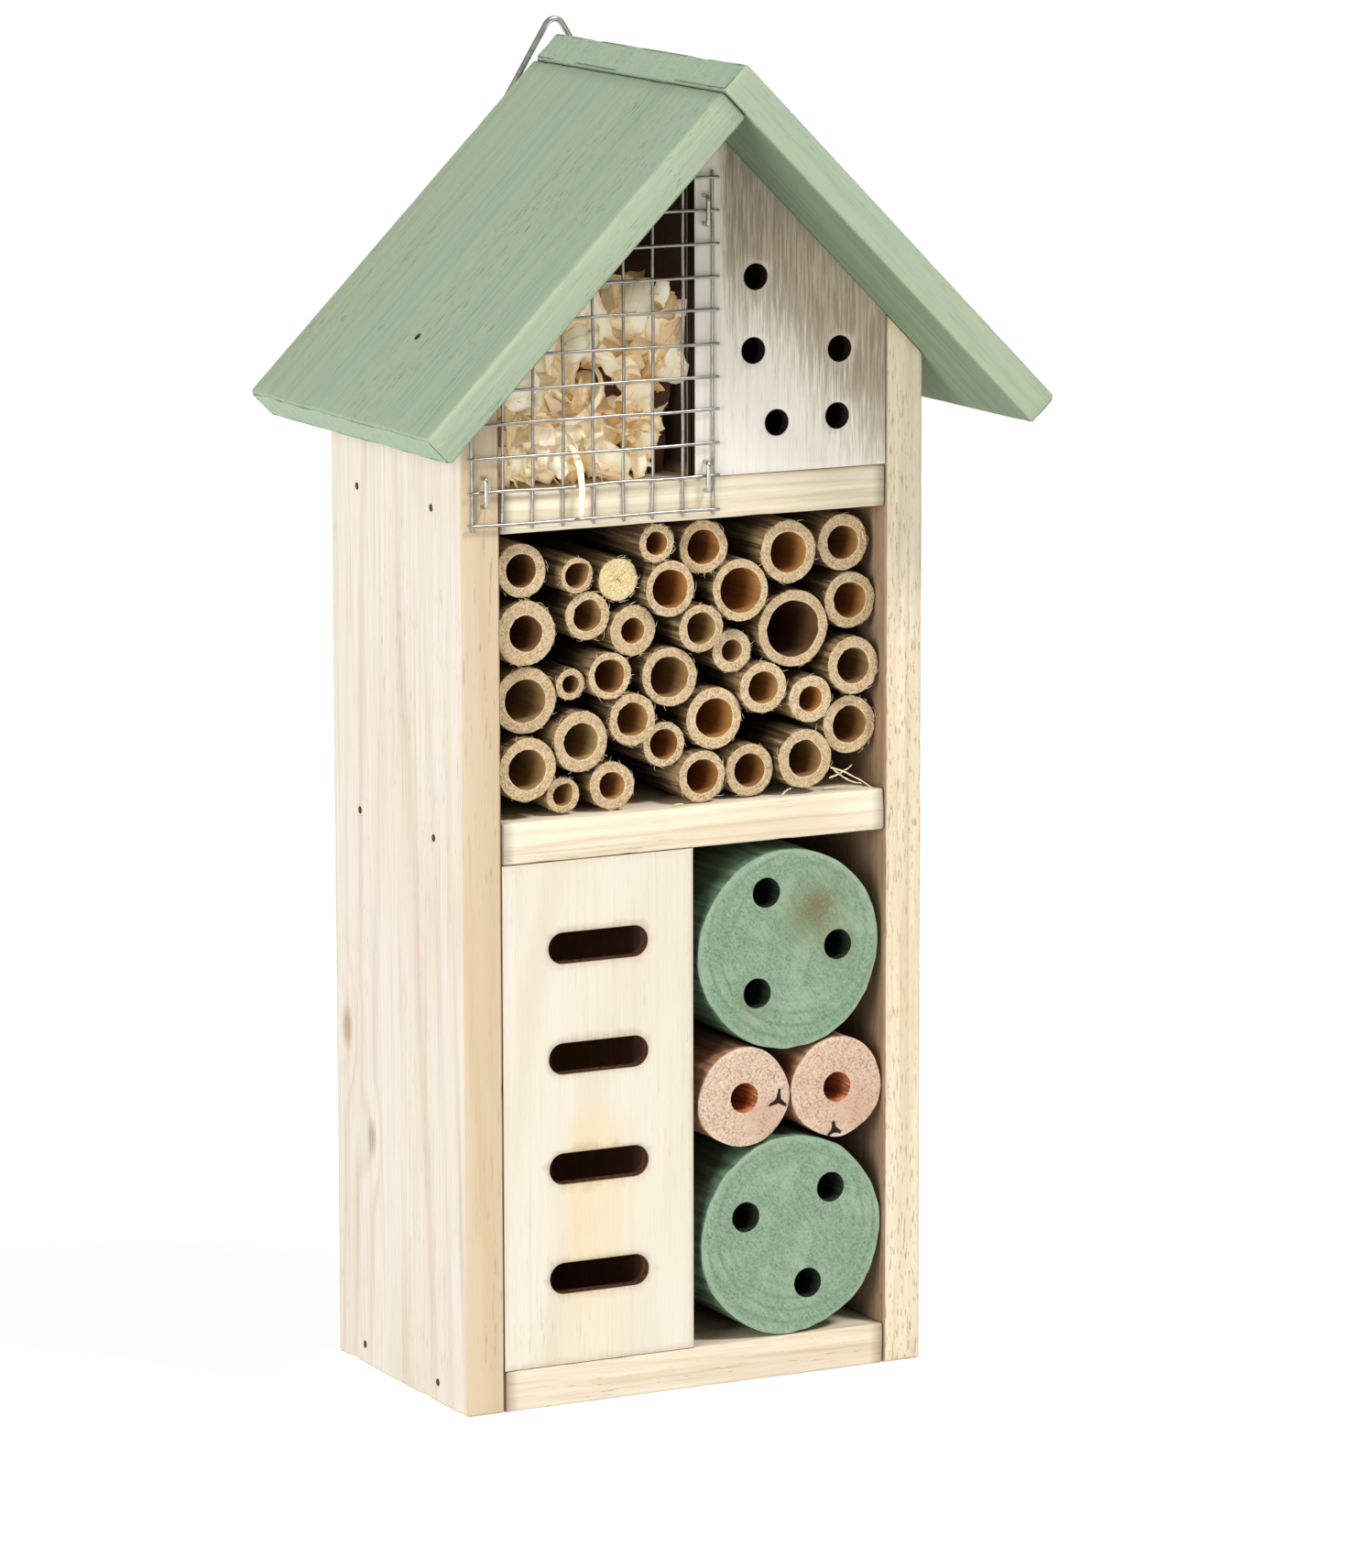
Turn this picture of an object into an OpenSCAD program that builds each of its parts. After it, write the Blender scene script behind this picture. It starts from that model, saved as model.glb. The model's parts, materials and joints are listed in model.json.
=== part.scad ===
// Insect hotel: a small gabled house with five compartments for nesting insects.
// Millimetres, +Z up, front towards -Y. The origin is under the middle of the whole object,
// on the surface that it stands on.

/* [House] */
// Width across the outside of the side walls
body_w = 98; // [82:1:118]
// Depth of the side walls, front to back
body_d = 58; // [48:1:80]
// Thickness of the walls, the base and the shelves
board_t = 8; // [6:0.5:10]
// Thickness of the back panel, the two front panels and the dividers
panel_t = 3; // [2:0.5:4]

/* [Compartments] */
// Clear height of the lowest bay, which holds the logs
log_bay_h = 98; // [80:1:118]
// Clear height of the middle bay, which holds the bamboo tubes
tube_bay_h = 55; // [46:1:66]
// Height of the walls' outer faces above the upper shelf
gable_wall_h = 21; // [16:1:30]

/* [Roof] */
// Thickness of the two roof boards
roof_t = 7; // [5:0.5:9]
// How far the eaves stand out past the walls at each side
eave_out = 17; // [10:1:24]
// How far the roof stands out in front of the walls
roof_front = 21.6; // [12:0.2:30]

/* [Front panels] */
// Length of each slot in the lower panel
slot_l = 21; // [12:1:26]
// Height of each slot
slot_h = 6; // [4:0.5:8]
// Number of slots
slot_count = 4; // [2:1:4]
// Distance between the slots' middles
slot_pitch = 21.4; // [14:0.2:22]
// Diameter of the round holes in the gable panel
entry_d = 5; // [3:0.5:7]

/* [Filling] */
// Diameter of the two large log sections
log_d = 39.6; // [30:0.2:44]
// Diameter of the two branch sections between them
branch_d = 20; // [12:0.2:22]
// Diameter of the nesting holes in the logs
nest_hole_d = 6; // [3:0.5:7]
// Depth of the nesting holes
nest_hole_depth = 36; // [20:1:40]
// Height of the heap of wood shavings at its highest
heap_h = 35; // [15:1:38]

/* [Wire mesh] */
// Distance between the mesh wires
mesh_pitch = 6.3; // [5:0.1:9]
// Diameter of the mesh wires
mesh_wire_d = 0.65; // [0.5:0.05:1]

/* [Hanger] */
// Height of the hanging ring's top corner above its pivot
ring_h = 18.3; // [14:0.1:24]
// Slope of the hanging ring's two legs, in degrees from level
ring_leg_angle = 58; // [50:1:66]
// Diameter of the ring's wire
ring_wire_d = 1.2; // [1:0.1:1.6]
// Width of the strap that holds the ring
strap_w = 8.5; // [6:0.5:12]

/* [Hidden] */
$fn = 48;
cut = 1;               // how far a cutting shape runs past the solid that it cuts
seat_gap = 0.1;        // clearance round pieces that are laid in by hand
soft_gap = 0.3;        // clearance round the loose heap
inner_w = body_w - 2 * board_t;
wall_x = body_w / 2;
inner_x = inner_w / 2;

// Levels, from the ground up
log_floor_z = board_t;
lower_shelf_z = log_floor_z + log_bay_h;
tube_floor_z = lower_shelf_z + board_t;
upper_shelf_z = tube_floor_z + tube_bay_h;
gable_floor_z = upper_shelf_z + board_t;
wall_top_z = gable_floor_z + gable_wall_h;
apex_z = wall_top_z + wall_x;          // inner edge of the ridge, where the undersides meet
ridge_z = apex_z + roof_t * sqrt(2);

// Hanger: a folded strap holds the ring's straight side in a rolled loop
strap_t = 0.5;
hinge_gap = 0.1;
loop_r = ring_wire_d / 2 + hinge_gap + strap_t;
strap_l = 17;
strap_nail_drop = 11;
pivot_drop = 15.9;                     // the pivot's depth below the outer ridge
pivot_z = ridge_z - pivot_drop;
ring_corner_x = ring_h / tan(ring_leg_angle);
ring_corner_d = ring_wire_d + 0.2;     // the wire is a little thicker where it is bent
strap_nail_d = 1.6;
strap_nail_head_d = 3.6;
strap_nail_head_t = 0.8;

// Depths: the whole object, from the roof's front to the strap's loop, is centred on Y
back_y = (roof_front + body_d - 2 * loop_r) / 2;
front_y = back_y - body_d;
back_panel_y = back_y - panel_t;
behind_panel_y = front_y + panel_t;
pivot_y = back_y + loop_r;

// Lower panel and the divider behind its free edge
slotted_right_x = -0.5;
slotted_w = inner_x + slotted_right_x;
slot_mid_x = -inner_x + slotted_w / 2;
lowest_slot_z = log_floor_z + log_bay_h / 2 - (slot_count - 1) / 2 * slot_pitch;
log_bay_w = inner_x;

// Gable panel: each entry hole as [from its free edge, above the upper shelf]
entry_holes = [[17.5, 9.5], [30.5, 10], [12.5, 23.5], [31, 22.8], [13, 37.5]];
drawn_gable_w = 41;
entry_scale = min(1, inner_x / drawn_gable_w);

// Nesting holes in a large log, as [across, up] from its middle
upper_log_holes = [[-5, 11.5], [10.5, 0], [-7, -8]];
lower_log_holes = [[8.5, 8.5], [-10, 4.5], [3.5, -10]];
branch_holes = [[0, 0]];
log_set_back = 0.4;

// Logs, bottom to top: [across from the bay's middle, diameter], for a bay as wide as drawn
drawn_log_bay_w = 41;
logs = [[0.5, log_d], [-9.8, branch_d], [10.4, branch_d], [0, log_d]];

// Bamboo tubes, bottom to top: [across from the middle, diameter, bore, set back from the front],
// for a bay as wide as drawn. A bore of 0 is a tube with its pith left in.
drawn_tube_bay_w = 82;
tubes = [
    [-26.6, 7.4, 4.6, 3], [2.6, 10.2, 6.6, 2], [13.3, 10.6, 6.4, 3], [24.5, 11.8, 7, 1.5],
    [-16.3, 9.6, 5.2, 2.5], [-34.7, 12.4, 7.6, 1.5], [-4.6, 9, 5.8, 4], [35, 11.8, 7.2, 3],
    [-23.2, 12, 7, 2], [6, 12.2, 7.6, 3.5], [-12.4, 10.2, 6.4, 1.5], [26, 9.4, 4.8, 2],
    [16, 10.2, 6.2, 2.5], [-34.3, 13.2, 8.2, 3], [35.1, 11.4, 6.8, 1.5], [-4, 12, 7.8, 2.5],
    [-24.8, 6.2, 3.4, 3], [-17, 9.2, 6.4, 2], [10, 8.6, 4.2, 4], [22.8, 15.2, 10.8, 3],
    [2.2, 9.6, 6, 1.5], [-11.8, 10, 4.8, 2.5], [-34.6, 12.6, 6.6, 2], [35.3, 11.2, 6.8, 3.5],
    [-21.1, 9.6, 6, 3], [11, 12.2, 8.6, 2], [-4.4, 11, 7.4, 1.5], [-14.4, 8.8, 0, 3.5],
    [-23.9, 7.2, 5.4, 2], [21.5, 12.4, 7.8, 2.5], [34, 11.2, 6.4, 4], [3.6, 10.4, 6.6, 3],
    [-35.2, 11, 6.2, 2.5], [-7.2, 7.4, 4.4, 1.5]
];

// Laid-in round pieces come to rest one after another: each falls straight down at its own place
// until it meets the floor or a piece below. The list that comes back is [across, up, radius].
function half_width(item, scale) = item[1] * scale / 2;
function clamped(x, limit) = max(-limit, min(limit, x));
function rest_height(x, r, below) = max(concat(
    [r + seat_gap],
    [for (p = below)
        let (reach = r + p[2] + seat_gap, off = abs(x - p[0]))
        if (off < reach) p[1] + sqrt(reach * reach - off * off)]
));
function settled(items, bay_w, drawn_w, scale, done = []) =
    len(done) == len(items) ? done :
    let (
        item = items[len(done)],
        r = half_width(item, scale),
        x = clamped(item[0] * bay_w / drawn_w, bay_w / 2 - r - seat_gap)
    )
    settled(items, bay_w, drawn_w, scale, concat(done, [[x, rest_height(x, r, done), r]]));
function stack_top(pile) = max([for (p = pile) p[1] + p[2]]);
// The largest scale at which the whole pile lies under the bay's ceiling
function pile_scale(items, bay_w, drawn_w, bay_h, scale) =
    stack_top(settled(items, bay_w, drawn_w, scale)) + seat_gap <= bay_h ? scale :
    pile_scale(items, bay_w, drawn_w, bay_h, scale - 0.01);

log_scale = pile_scale(logs, log_bay_w, drawn_log_bay_w, log_bay_h, min(1, log_bay_w / drawn_log_bay_w));
log_pile = settled(logs, log_bay_w, drawn_log_bay_w, log_scale);
tube_scale = pile_scale(tubes, inner_w, drawn_tube_bay_w, tube_bay_h, min(1, inner_w / drawn_tube_bay_w));
tube_pile = settled(tubes, inner_w, drawn_tube_bay_w, tube_scale);

// Brads through the walls into the base and the shelves
brad_d = 1.5;
brad_l = 22;
brad_front_in = 13;                    // from the front edge to the first brad
brad_back_in = 12;                     // from the back edge to the last brad
brad_levels = [board_t / 2, lower_shelf_z + board_t / 2, upper_shelf_z + board_t / 2];
brad_depths = [front_y + brad_front_in, back_y - brad_back_in];

// Brads square through the roof boards into the tops of the walls, and through the lapped ridge
roof_brad_in = 2.5;                    // from the wall's outer face
roof_brad_bite = 6;
ridge_brad_bite = 12;
roof_brad_depths = [front_y + brad_front_in, (front_y + back_y) / 2, back_y - brad_back_in];

// Mesh: its right edge laps the gable panel and its left edge lies on the wall's front edge
mesh_right_x = 3.6;
mesh_stub = 1;
mesh_trim = 1.6;                       // clearance below the roof, measured straight up
mesh_weld = 0.1;
mesh_base_z = upper_shelf_z + 2;
mesh_top_z = apex_z - 12;
mesh_cols = floor((wall_x - mesh_stub + mesh_right_x) / mesh_pitch);
mesh_rows = floor((mesh_top_z - mesh_base_z) / mesh_pitch);
mesh_col_y = front_y - mesh_wire_d / 2;
mesh_row_y = mesh_col_y - mesh_wire_d + mesh_weld;
mesh_left_x = mesh_right_x - mesh_cols * mesh_pitch;

// Staples: each straddles one mesh row, with its crown upright, given as [x, mesh row]
staple_wire_d = 0.9;
staple_span = 5.4;
staple_leg = 4;
staple_from_right = 1.6;               // from the mesh's right edge to the two staples there
staple_from_left = 2.2;                // from its left edge to the one on the wall, if that is on the wall
left_inside_x = mesh_left_x + staple_from_left;
left_outside_x = mesh_left_x - (mesh_wire_d + staple_wire_d) / 2 - seat_gap;
left_staple_x = left_inside_x <= -inner_x - staple_wire_d ? left_inside_x : left_outside_x;
staples = [
    [mesh_right_x - staple_from_right, mesh_rows - 1],
    [mesh_right_x - staple_from_right, 1],
    [left_staple_x, 1]
];
staple_crown_y = mesh_row_y - mesh_wire_d / 2 - staple_wire_d / 2 - seat_gap;

function tube_name(i) = str("bamboo_tube_", i < 9 ? "0" : "", i + 1);

// A flat shape drawn as [x, z], standing upright and running back from y over the depth
module upright(y, depth) {
    translate([0, y + depth, 0]) rotate([90, 0, 0]) linear_extrude(depth) children();
}

// A round rod or hole that runs back along Y from the point given
module rod_y(x, y, z, d, l) {
    translate([x, y, z]) rotate([-90, 0, 0]) cylinder(d = d, h = l);
}

// A round rod between two points in one plane of constant Y
module rod_xz(from, to, y, d) {
    run = to - from;
    translate([from[0], y, from[1]])
        rotate([0, atan2(run[0], run[1]), 0])
            cylinder(d = d, h = norm(run));
}

module wall_brad_set() {
    for (side = [-1, 1], z = brad_levels, y = brad_depths)
        translate([side * wall_x, y, z]) rotate([0, -side * 90, 0]) cylinder(d = brad_d, h = brad_l);
}

// The right board laps the left board's end, so only it is pinned through the ridge
module roof_brad_set() {
    for (side = [-1, 1], y = roof_brad_depths)
        translate([side * (wall_x - roof_brad_in), y, wall_top_z + roof_brad_in])
            rotate([0, side * 45, 0])
                translate([0, 0, -roof_brad_bite]) cylinder(d = brad_d, h = roof_brad_bite + roof_t);
    for (y = [roof_brad_depths[0], roof_brad_depths[2]])
        translate([0, y, apex_z]) rotate([0, 45, 0])
            translate([-roof_t / 2, 0, -ridge_brad_bite]) cylinder(d = brad_d, h = ridge_brad_bite + roof_t);
}

module staple_set() {
    for (s = staples) {
        z = mesh_base_z + s[1] * mesh_pitch;
        for (end = [-1, 1]) {
            rod_y(s[0], staple_crown_y, z + end * staple_span / 2, staple_wire_d,
                front_y + staple_leg - staple_crown_y);
            translate([s[0], staple_crown_y, z + end * staple_span / 2]) sphere(d = staple_wire_d);
        }
        translate([s[0], staple_crown_y, z - staple_span / 2]) cylinder(d = staple_wire_d, h = staple_span);
    }
}

// Side wall: its top is cut at the roof's slope, so it is higher inside than outside
module side_wall(side) {
    color("Wheat")
    difference() {
        upright(front_y, body_d)
            polygon([
                [side * wall_x, 0], [side * wall_x, wall_top_z],
                [side * inner_x, wall_top_z + board_t], [side * inner_x, 0]
            ]);
        wall_brad_set();
        roof_brad_set();
        staple_set();
    }
}

// A board that lies flat between the walls, in front of the back panel
module cross_board(z) {
    color("BurlyWood")
    difference() {
        translate([-inner_x, front_y, z]) cube([inner_w, body_d - panel_t, board_t]);
        wall_brad_set();
        staple_set();
    }
}

module back_panel() {
    color("Tan")
    difference() {
        upright(back_panel_y, panel_t)
            polygon([
                [-inner_x, 0], [inner_x, 0], [inner_x, apex_z - inner_x],
                [0, apex_z], [-inner_x, apex_z - inner_x]
            ]);
        hanger_nail_shape();
    }
}

// A roof board starts at the inner ridge, plus its lap, and ends where its lower edge meets the eaves
module roof_board(side, lap) {
    run = (wall_x + eave_out) * sqrt(2) - roof_t;
    color("DarkSeaGreen")
    difference() {
        translate([0, front_y - roof_front, apex_z])
            rotate([0, side * 45, 0])
                translate([side > 0 ? -lap : -run, 0, 0])
                    cube([run + lap, body_d + roof_front, roof_t]);
        roof_brad_set();
    }
}

module slotted_panel() {
    color("BlanchedAlmond")
    difference() {
        translate([-inner_x, front_y, log_floor_z]) cube([slotted_w, panel_t, log_bay_h]);
        for (i = [0:slot_count - 1])
            translate([slot_mid_x, front_y - cut, lowest_slot_z + i * slot_pitch])
                slot_cutter();
    }
}

// A slot with round ends, cut right through the panel
module slot_cutter() {
    straight = slot_l - slot_h;
    translate([-straight / 2, 0, -slot_h / 2]) cube([straight, panel_t + 2 * cut, slot_h]);
    for (end = [-1, 1])
        rod_y(end * straight / 2, 0, 0, slot_h, panel_t + 2 * cut);
}

module drilled_panel() {
    color("AntiqueWhite")
    difference() {
        upright(front_y, panel_t)
            polygon([
                [0, gable_floor_z], [inner_x, gable_floor_z],
                [inner_x, apex_z - inner_x], [0, apex_z]
            ]);
        for (h = entry_holes)
            rod_y(h[0] * entry_scale, front_y - cut, gable_floor_z + h[1] * entry_scale,
                entry_d, panel_t + 2 * cut);
        staple_set();
    }
}

module lower_divider() {
    color("BurlyWood")
    translate([slotted_right_x - panel_t, behind_panel_y, log_floor_z])
        cube([panel_t, back_panel_y - behind_panel_y, log_bay_h]);
}

module upper_divider() {
    color("BurlyWood")
    difference() {
        upright(behind_panel_y, back_panel_y - behind_panel_y)
            polygon([
                [0, gable_floor_z], [panel_t, gable_floor_z],
                [panel_t, apex_z - panel_t], [0, apex_z]
            ]);
        staple_set();
    }
}

// Welded mesh: upright wires on the front edges, and level wires across them, cut off below the roof
module wire_mesh() {
    color("Silver") {
        for (i = [0:mesh_cols]) {
            x = mesh_left_x + i * mesh_pitch;
            top = min(mesh_base_z + mesh_rows * mesh_pitch + mesh_stub, apex_z - abs(x) - mesh_trim);
            rod_xz([x, mesh_base_z - mesh_stub], [x, top], mesh_col_y, mesh_wire_d);
        }
        for (k = [0:mesh_rows]) {
            z = mesh_base_z + k * mesh_pitch;
            under_roof = apex_z - z - mesh_trim;
            rod_xz([max(mesh_left_x - mesh_stub, -under_roof), z],
                [min(mesh_right_x + mesh_stub, under_roof), z], mesh_row_y, mesh_wire_d);
        }
    }
}

module mesh_staples() {
    color("LightSteelBlue") staple_set();
}

module wall_brads() {
    color("DimGray") wall_brad_set();
}

module roof_brads() {
    color("DimGray") roof_brad_set();
}

// Two layers of strap lie on the back panel, and the fold between them is the ring's hinge
module hanger_strap() {
    color("LightSlateGray")
    difference() {
        union() {
            translate([-strap_w / 2, back_y, pivot_z - strap_l]) cube([strap_w, 2 * strap_t, strap_l]);
            rod_xz([-strap_w / 2, pivot_z], [strap_w / 2, pivot_z], pivot_y, 2 * loop_r);
        }
        rod_xz([-strap_w / 2 - cut, pivot_z], [strap_w / 2 + cut, pivot_z], pivot_y,
            ring_wire_d + 2 * hinge_gap);
        hanger_nail_shape();
    }
}

// The nail's point ends flush inside the back panel
module hanger_nail_shape() {
    z = pivot_z - strap_nail_drop;
    rod_y(0, back_panel_y, z, strap_nail_d, panel_t + 2 * strap_t);
    rod_y(0, back_y + 2 * strap_t, z, strap_nail_head_d, strap_nail_head_t);
}

module hanger_nail() {
    color("DimGray") hanger_nail_shape();
}

// Bent wire triangle, drawn standing up behind the ridge
module hanger_ring() {
    corners = [[-ring_corner_x, pivot_z], [ring_corner_x, pivot_z], [0, pivot_z + ring_h]];
    color("Silver")
    for (i = [0:2]) {
        rod_xz(corners[i], corners[(i + 1) % 3], pivot_y, ring_wire_d);
        translate([corners[i][0], pivot_y, corners[i][1]]) sphere(d = ring_corner_d);
    }
}

// A section of log with blind nesting holes drilled in from its front end
module log_section(i, holes) {
    seat = log_pile[i];
    face_y = front_y + log_set_back;
    difference() {
        rod_y(inner_x / 2 + seat[0], face_y, log_floor_z + seat[1], 2 * seat[2], back_panel_y - face_y);
        for (h = holes)
            rod_y(inner_x / 2 + seat[0] + h[0] * log_scale, face_y - cut,
                log_floor_z + seat[1] + h[1] * log_scale, nest_hole_d, nest_hole_depth + cut);
    }
}

module green_log(i, holes) {
    color("OliveDrab") log_section(i, holes);
}

module branch_log(i) {
    color("RosyBrown") log_section(i, branch_holes);
}

// Heap of curled wood shavings, drawn as one soft block with a sloping top
module wood_shavings() {
    left = -inner_x + soft_gap;
    right = -soft_gap;
    floor_z = gable_floor_z + seat_gap;
    left_h = min(0.55 * heap_h, gable_wall_h);
    color("Cornsilk")
    upright(front_y + soft_gap, body_d - panel_t - 2 * soft_gap)
        polygon([
            [left, floor_z], [right, floor_z], [right, floor_z + 0.95 * heap_h],
            [left / 3, floor_z + heap_h], [2 * left / 3, floor_z + (heap_h + left_h) / 2],
            [left, floor_z + left_h]
        ]);
}

// A cut length of cane, open at both ends unless its pith is left in
module bamboo_tube(i) {
    seat = tube_pile[i];
    face_y = front_y + tubes[i][3];
    z = tube_floor_z + seat[1];
    color(i % 3 == 0 ? "Tan" : i % 3 == 1 ? "BurlyWood" : "DarkKhaki")
    difference() {
        rod_y(seat[0], face_y, z, 2 * seat[2], back_panel_y - face_y);
        if (tubes[i][2] > 0)
            rod_y(seat[0], face_y - cut, z, tubes[i][2] * tube_scale, back_panel_y - face_y + 2 * cut);
    }
}

side_wall(-1);  // left_wall
side_wall(1);  // right_wall
cross_board(0);  // base_board
cross_board(lower_shelf_z);  // lower_shelf
cross_board(upper_shelf_z);  // upper_shelf
back_panel();
roof_board(-1, 0);  // left_roof_board
roof_board(1, roof_t);  // right_roof_board
slotted_panel();
drilled_panel();
lower_divider();
upper_divider();
wire_mesh();
mesh_staples();
wall_brads();
roof_brads();
hanger_strap();
hanger_nail();
hanger_ring();
green_log(0, lower_log_holes);  // green_log_lower
branch_log(1);  // branch_log_left
branch_log(2);  // branch_log_right
green_log(3, upper_log_holes);  // green_log_upper
wood_shavings();
for (i = [0:len(tubes) - 1])
    bamboo_tube(i);
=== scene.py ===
import bpy
import bmesh
import json
import math
import numpy as np
from mathutils import Matrix, Vector
from mathutils.geometry import delaunay_2d_cdt


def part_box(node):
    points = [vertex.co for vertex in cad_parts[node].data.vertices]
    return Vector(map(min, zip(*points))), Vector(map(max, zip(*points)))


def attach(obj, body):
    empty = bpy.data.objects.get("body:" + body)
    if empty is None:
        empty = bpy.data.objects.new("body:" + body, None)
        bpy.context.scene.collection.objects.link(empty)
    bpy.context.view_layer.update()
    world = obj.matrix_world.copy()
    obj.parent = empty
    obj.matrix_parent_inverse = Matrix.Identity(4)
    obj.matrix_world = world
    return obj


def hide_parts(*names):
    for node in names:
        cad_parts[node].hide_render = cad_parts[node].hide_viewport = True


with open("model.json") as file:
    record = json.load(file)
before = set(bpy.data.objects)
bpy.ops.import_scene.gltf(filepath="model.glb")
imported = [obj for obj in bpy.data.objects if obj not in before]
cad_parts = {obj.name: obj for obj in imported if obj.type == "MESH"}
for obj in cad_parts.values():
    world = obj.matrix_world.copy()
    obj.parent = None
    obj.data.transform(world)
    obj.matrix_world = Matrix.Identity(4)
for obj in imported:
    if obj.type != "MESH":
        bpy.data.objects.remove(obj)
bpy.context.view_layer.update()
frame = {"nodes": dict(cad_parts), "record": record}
print("frame loaded:", len(frame["nodes"]), "nodes")

mm = 0.001
turn = 2 * math.pi
spacing = {"board": 2.4 * mm, "panelEdge": 0.9 * mm, "panelFace": 1.5 * mm, "logFace": 0.9 * mm}
mergeWithin = 1e-6


# small tools

def nodeBox(name):
    low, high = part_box(name)
    return np.array(low), np.array(high)


def nodePoints(name):
    mesh = frame["nodes"][name].data
    points = np.empty(len(mesh.vertices) * 3)
    mesh.vertices.foreach_get("co", points)
    return points.reshape(-1, 3)


def circle(steps):
    angle = np.arange(steps) * turn / steps
    return np.stack([np.cos(angle), np.sin(angle)], -1)


def atDepth(outline, y):
    # an (x, z) outline as points in the upright plane at y
    return np.stack([outline[:, 0], y + np.zeros(len(outline)), outline[:, 1]], -1)


def ripple(points, size, seed, waves=8):
    # smooth unevenness: a sum of sine waves with random headings, about -1 to 1
    rng = np.random.default_rng(seed)
    heading = rng.normal(size=(waves, points.shape[-1]))
    heading /= np.linalg.norm(heading, axis=1, keepdims=True)
    heading *= turn / size * rng.uniform(0.5, 1.6, (waves, 1))
    return np.sin(points @ heading.T + rng.uniform(0, turn, waves)).sum(-1) / math.sqrt(waves)


def unit(vectors):
    return vectors / np.linalg.norm(vectors, axis=-1, keepdims=True)


def gridFaces(rows, cols, wrapRows=False, wrapCols=False):
    row, col = np.meshgrid(np.arange(rows if wrapRows else rows - 1),
                           np.arange(cols if wrapCols else cols - 1), indexing="ij")
    nextRow, nextCol = (row + 1) % rows, (col + 1) % cols
    corners = [row * cols + col, row * cols + nextCol, nextRow * cols + nextCol, nextRow * cols + col]
    return np.stack(corners, -1).reshape(-1, 4)


def joined(parts):
    # several (points, faces, attributes) sets as one; every set has the same attribute names
    points, faces, start = [], [], 0
    for part in parts:
        points.append(part[0])
        faces += (part[1] + start).tolist()
        start += len(part[0])
    names = parts[0][2].keys()
    attributes = {n: np.concatenate([part[2][n] for part in parts]) for n in names}
    return np.concatenate(points), faces, attributes


def makePiece(name, points, faces, attributes, material, slotName, stands=(), body="house", sharp=35):
    mesh = bpy.data.meshes.new(name)
    mesh.from_pydata(points.tolist(), [], faces.tolist() if isinstance(faces, np.ndarray) else faces)
    for key, values in attributes.items():
        kind = "FLOAT" if values.ndim == 1 else "FLOAT_VECTOR"
        layer = mesh.attributes.new(key, kind, "POINT")
        layer.data.foreach_set("value" if values.ndim == 1 else "vector", values.astype(np.float32).ravel())
    work = bmesh.new()
    work.from_mesh(mesh)
    bmesh.ops.remove_doubles(work, verts=work.verts, dist=mergeWithin)
    bmesh.ops.dissolve_degenerate(work, edges=work.edges, dist=1e-7)
    bmesh.ops.recalc_face_normals(work, faces=work.faces)
    work.to_mesh(mesh)
    work.free()
    mesh.polygons.foreach_set("use_smooth", [True] * len(mesh.polygons))
    mesh.set_sharp_from_angle(angle=math.radians(sharp))
    mesh.materials.append(material)
    made = bpy.data.objects.new(name, mesh)
    bpy.context.collection.objects.link(made)
    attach(made, body)
    if stands:
        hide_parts(*stands)


def sweep(path, radius, across, sides=10, closed=False):
    # a round wire: a circle carried along a path that lies square to the vector across
    ahead = np.roll(path, -1, 0) - np.roll(path, 1, 0)
    if not closed:
        ahead[0], ahead[-1] = path[1] - path[0], path[-1] - path[-2]
    side = unit(np.cross(unit(ahead), across))
    lift = unit(np.cross(side, ahead))
    angle = np.arange(sides) * turn / sides
    ring = np.cos(angle)[None, :, None] * side[:, None, :] + np.sin(angle)[None, :, None] * lift[:, None, :]
    size = np.broadcast_to(radius, len(path))[:, None, None]
    points = path[:, None, :] + ring * size
    if closed:
        return points.reshape(-1, 3), gridFaces(len(path), sides, True, True)
    rows = [points]
    for end, way in ((0, -1), (-1, 1)):          # a blunt rounded tip, closed at its pole
        tip = unit(ahead[end]) * way
        for share, out in ((0.7, 0.5), (0.0, 0.75)):
            cap = path[end] + ring[end] * size[end] * share + tip * size[end, 0] * out
            rows = [cap[None]] + rows if end == 0 else rows + [cap[None]]
    stack = np.concatenate(rows)
    return stack.reshape(-1, 3), gridFaces(len(stack), sides, False, True)


def curve(points, bend, steps=6):
    # straight runs between points, with each inner corner rounded to the radius bend
    points = np.asarray(points, float)
    made = [points[:1]]
    for before, corner, after in zip(points[:-2], points[1:-1], points[2:]):
        back, ahead = unit(before - corner), unit(after - corner)
        half = math.acos(np.clip(back @ ahead, -1, 1)) / 2
        reach = bend / math.tan(half)
        middle = corner + unit(back + ahead) * bend / math.sin(half)
        start, end = corner + back * reach - middle, corner + ahead * reach - middle
        share = np.linspace(0, 1, steps)[:, None]
        made.append(middle + unit(start * (1 - share) + end * share) * bend)
    made.append(points[-1:])
    return np.concatenate(made)


def resampled(path, gap):
    length = np.concatenate([[0], np.cumsum(np.linalg.norm(np.diff(path, axis=0), axis=1))])
    places = np.linspace(0, length[-1], max(2, int(length[-1] / gap) + 1))
    return np.stack([np.interp(places, length, path[:, k]) for k in range(3)], -1)


# shader tools

def newMaterial(name, **constants):
    material = bpy.data.materials.new(name)
    material.use_nodes = True
    tree = material.node_tree
    shader = tree.nodes["Principled BSDF"]
    for key, value in constants.items():
        shader.inputs[key.replace("_", " ")].default_value = value
    return material, tree, shader


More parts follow.
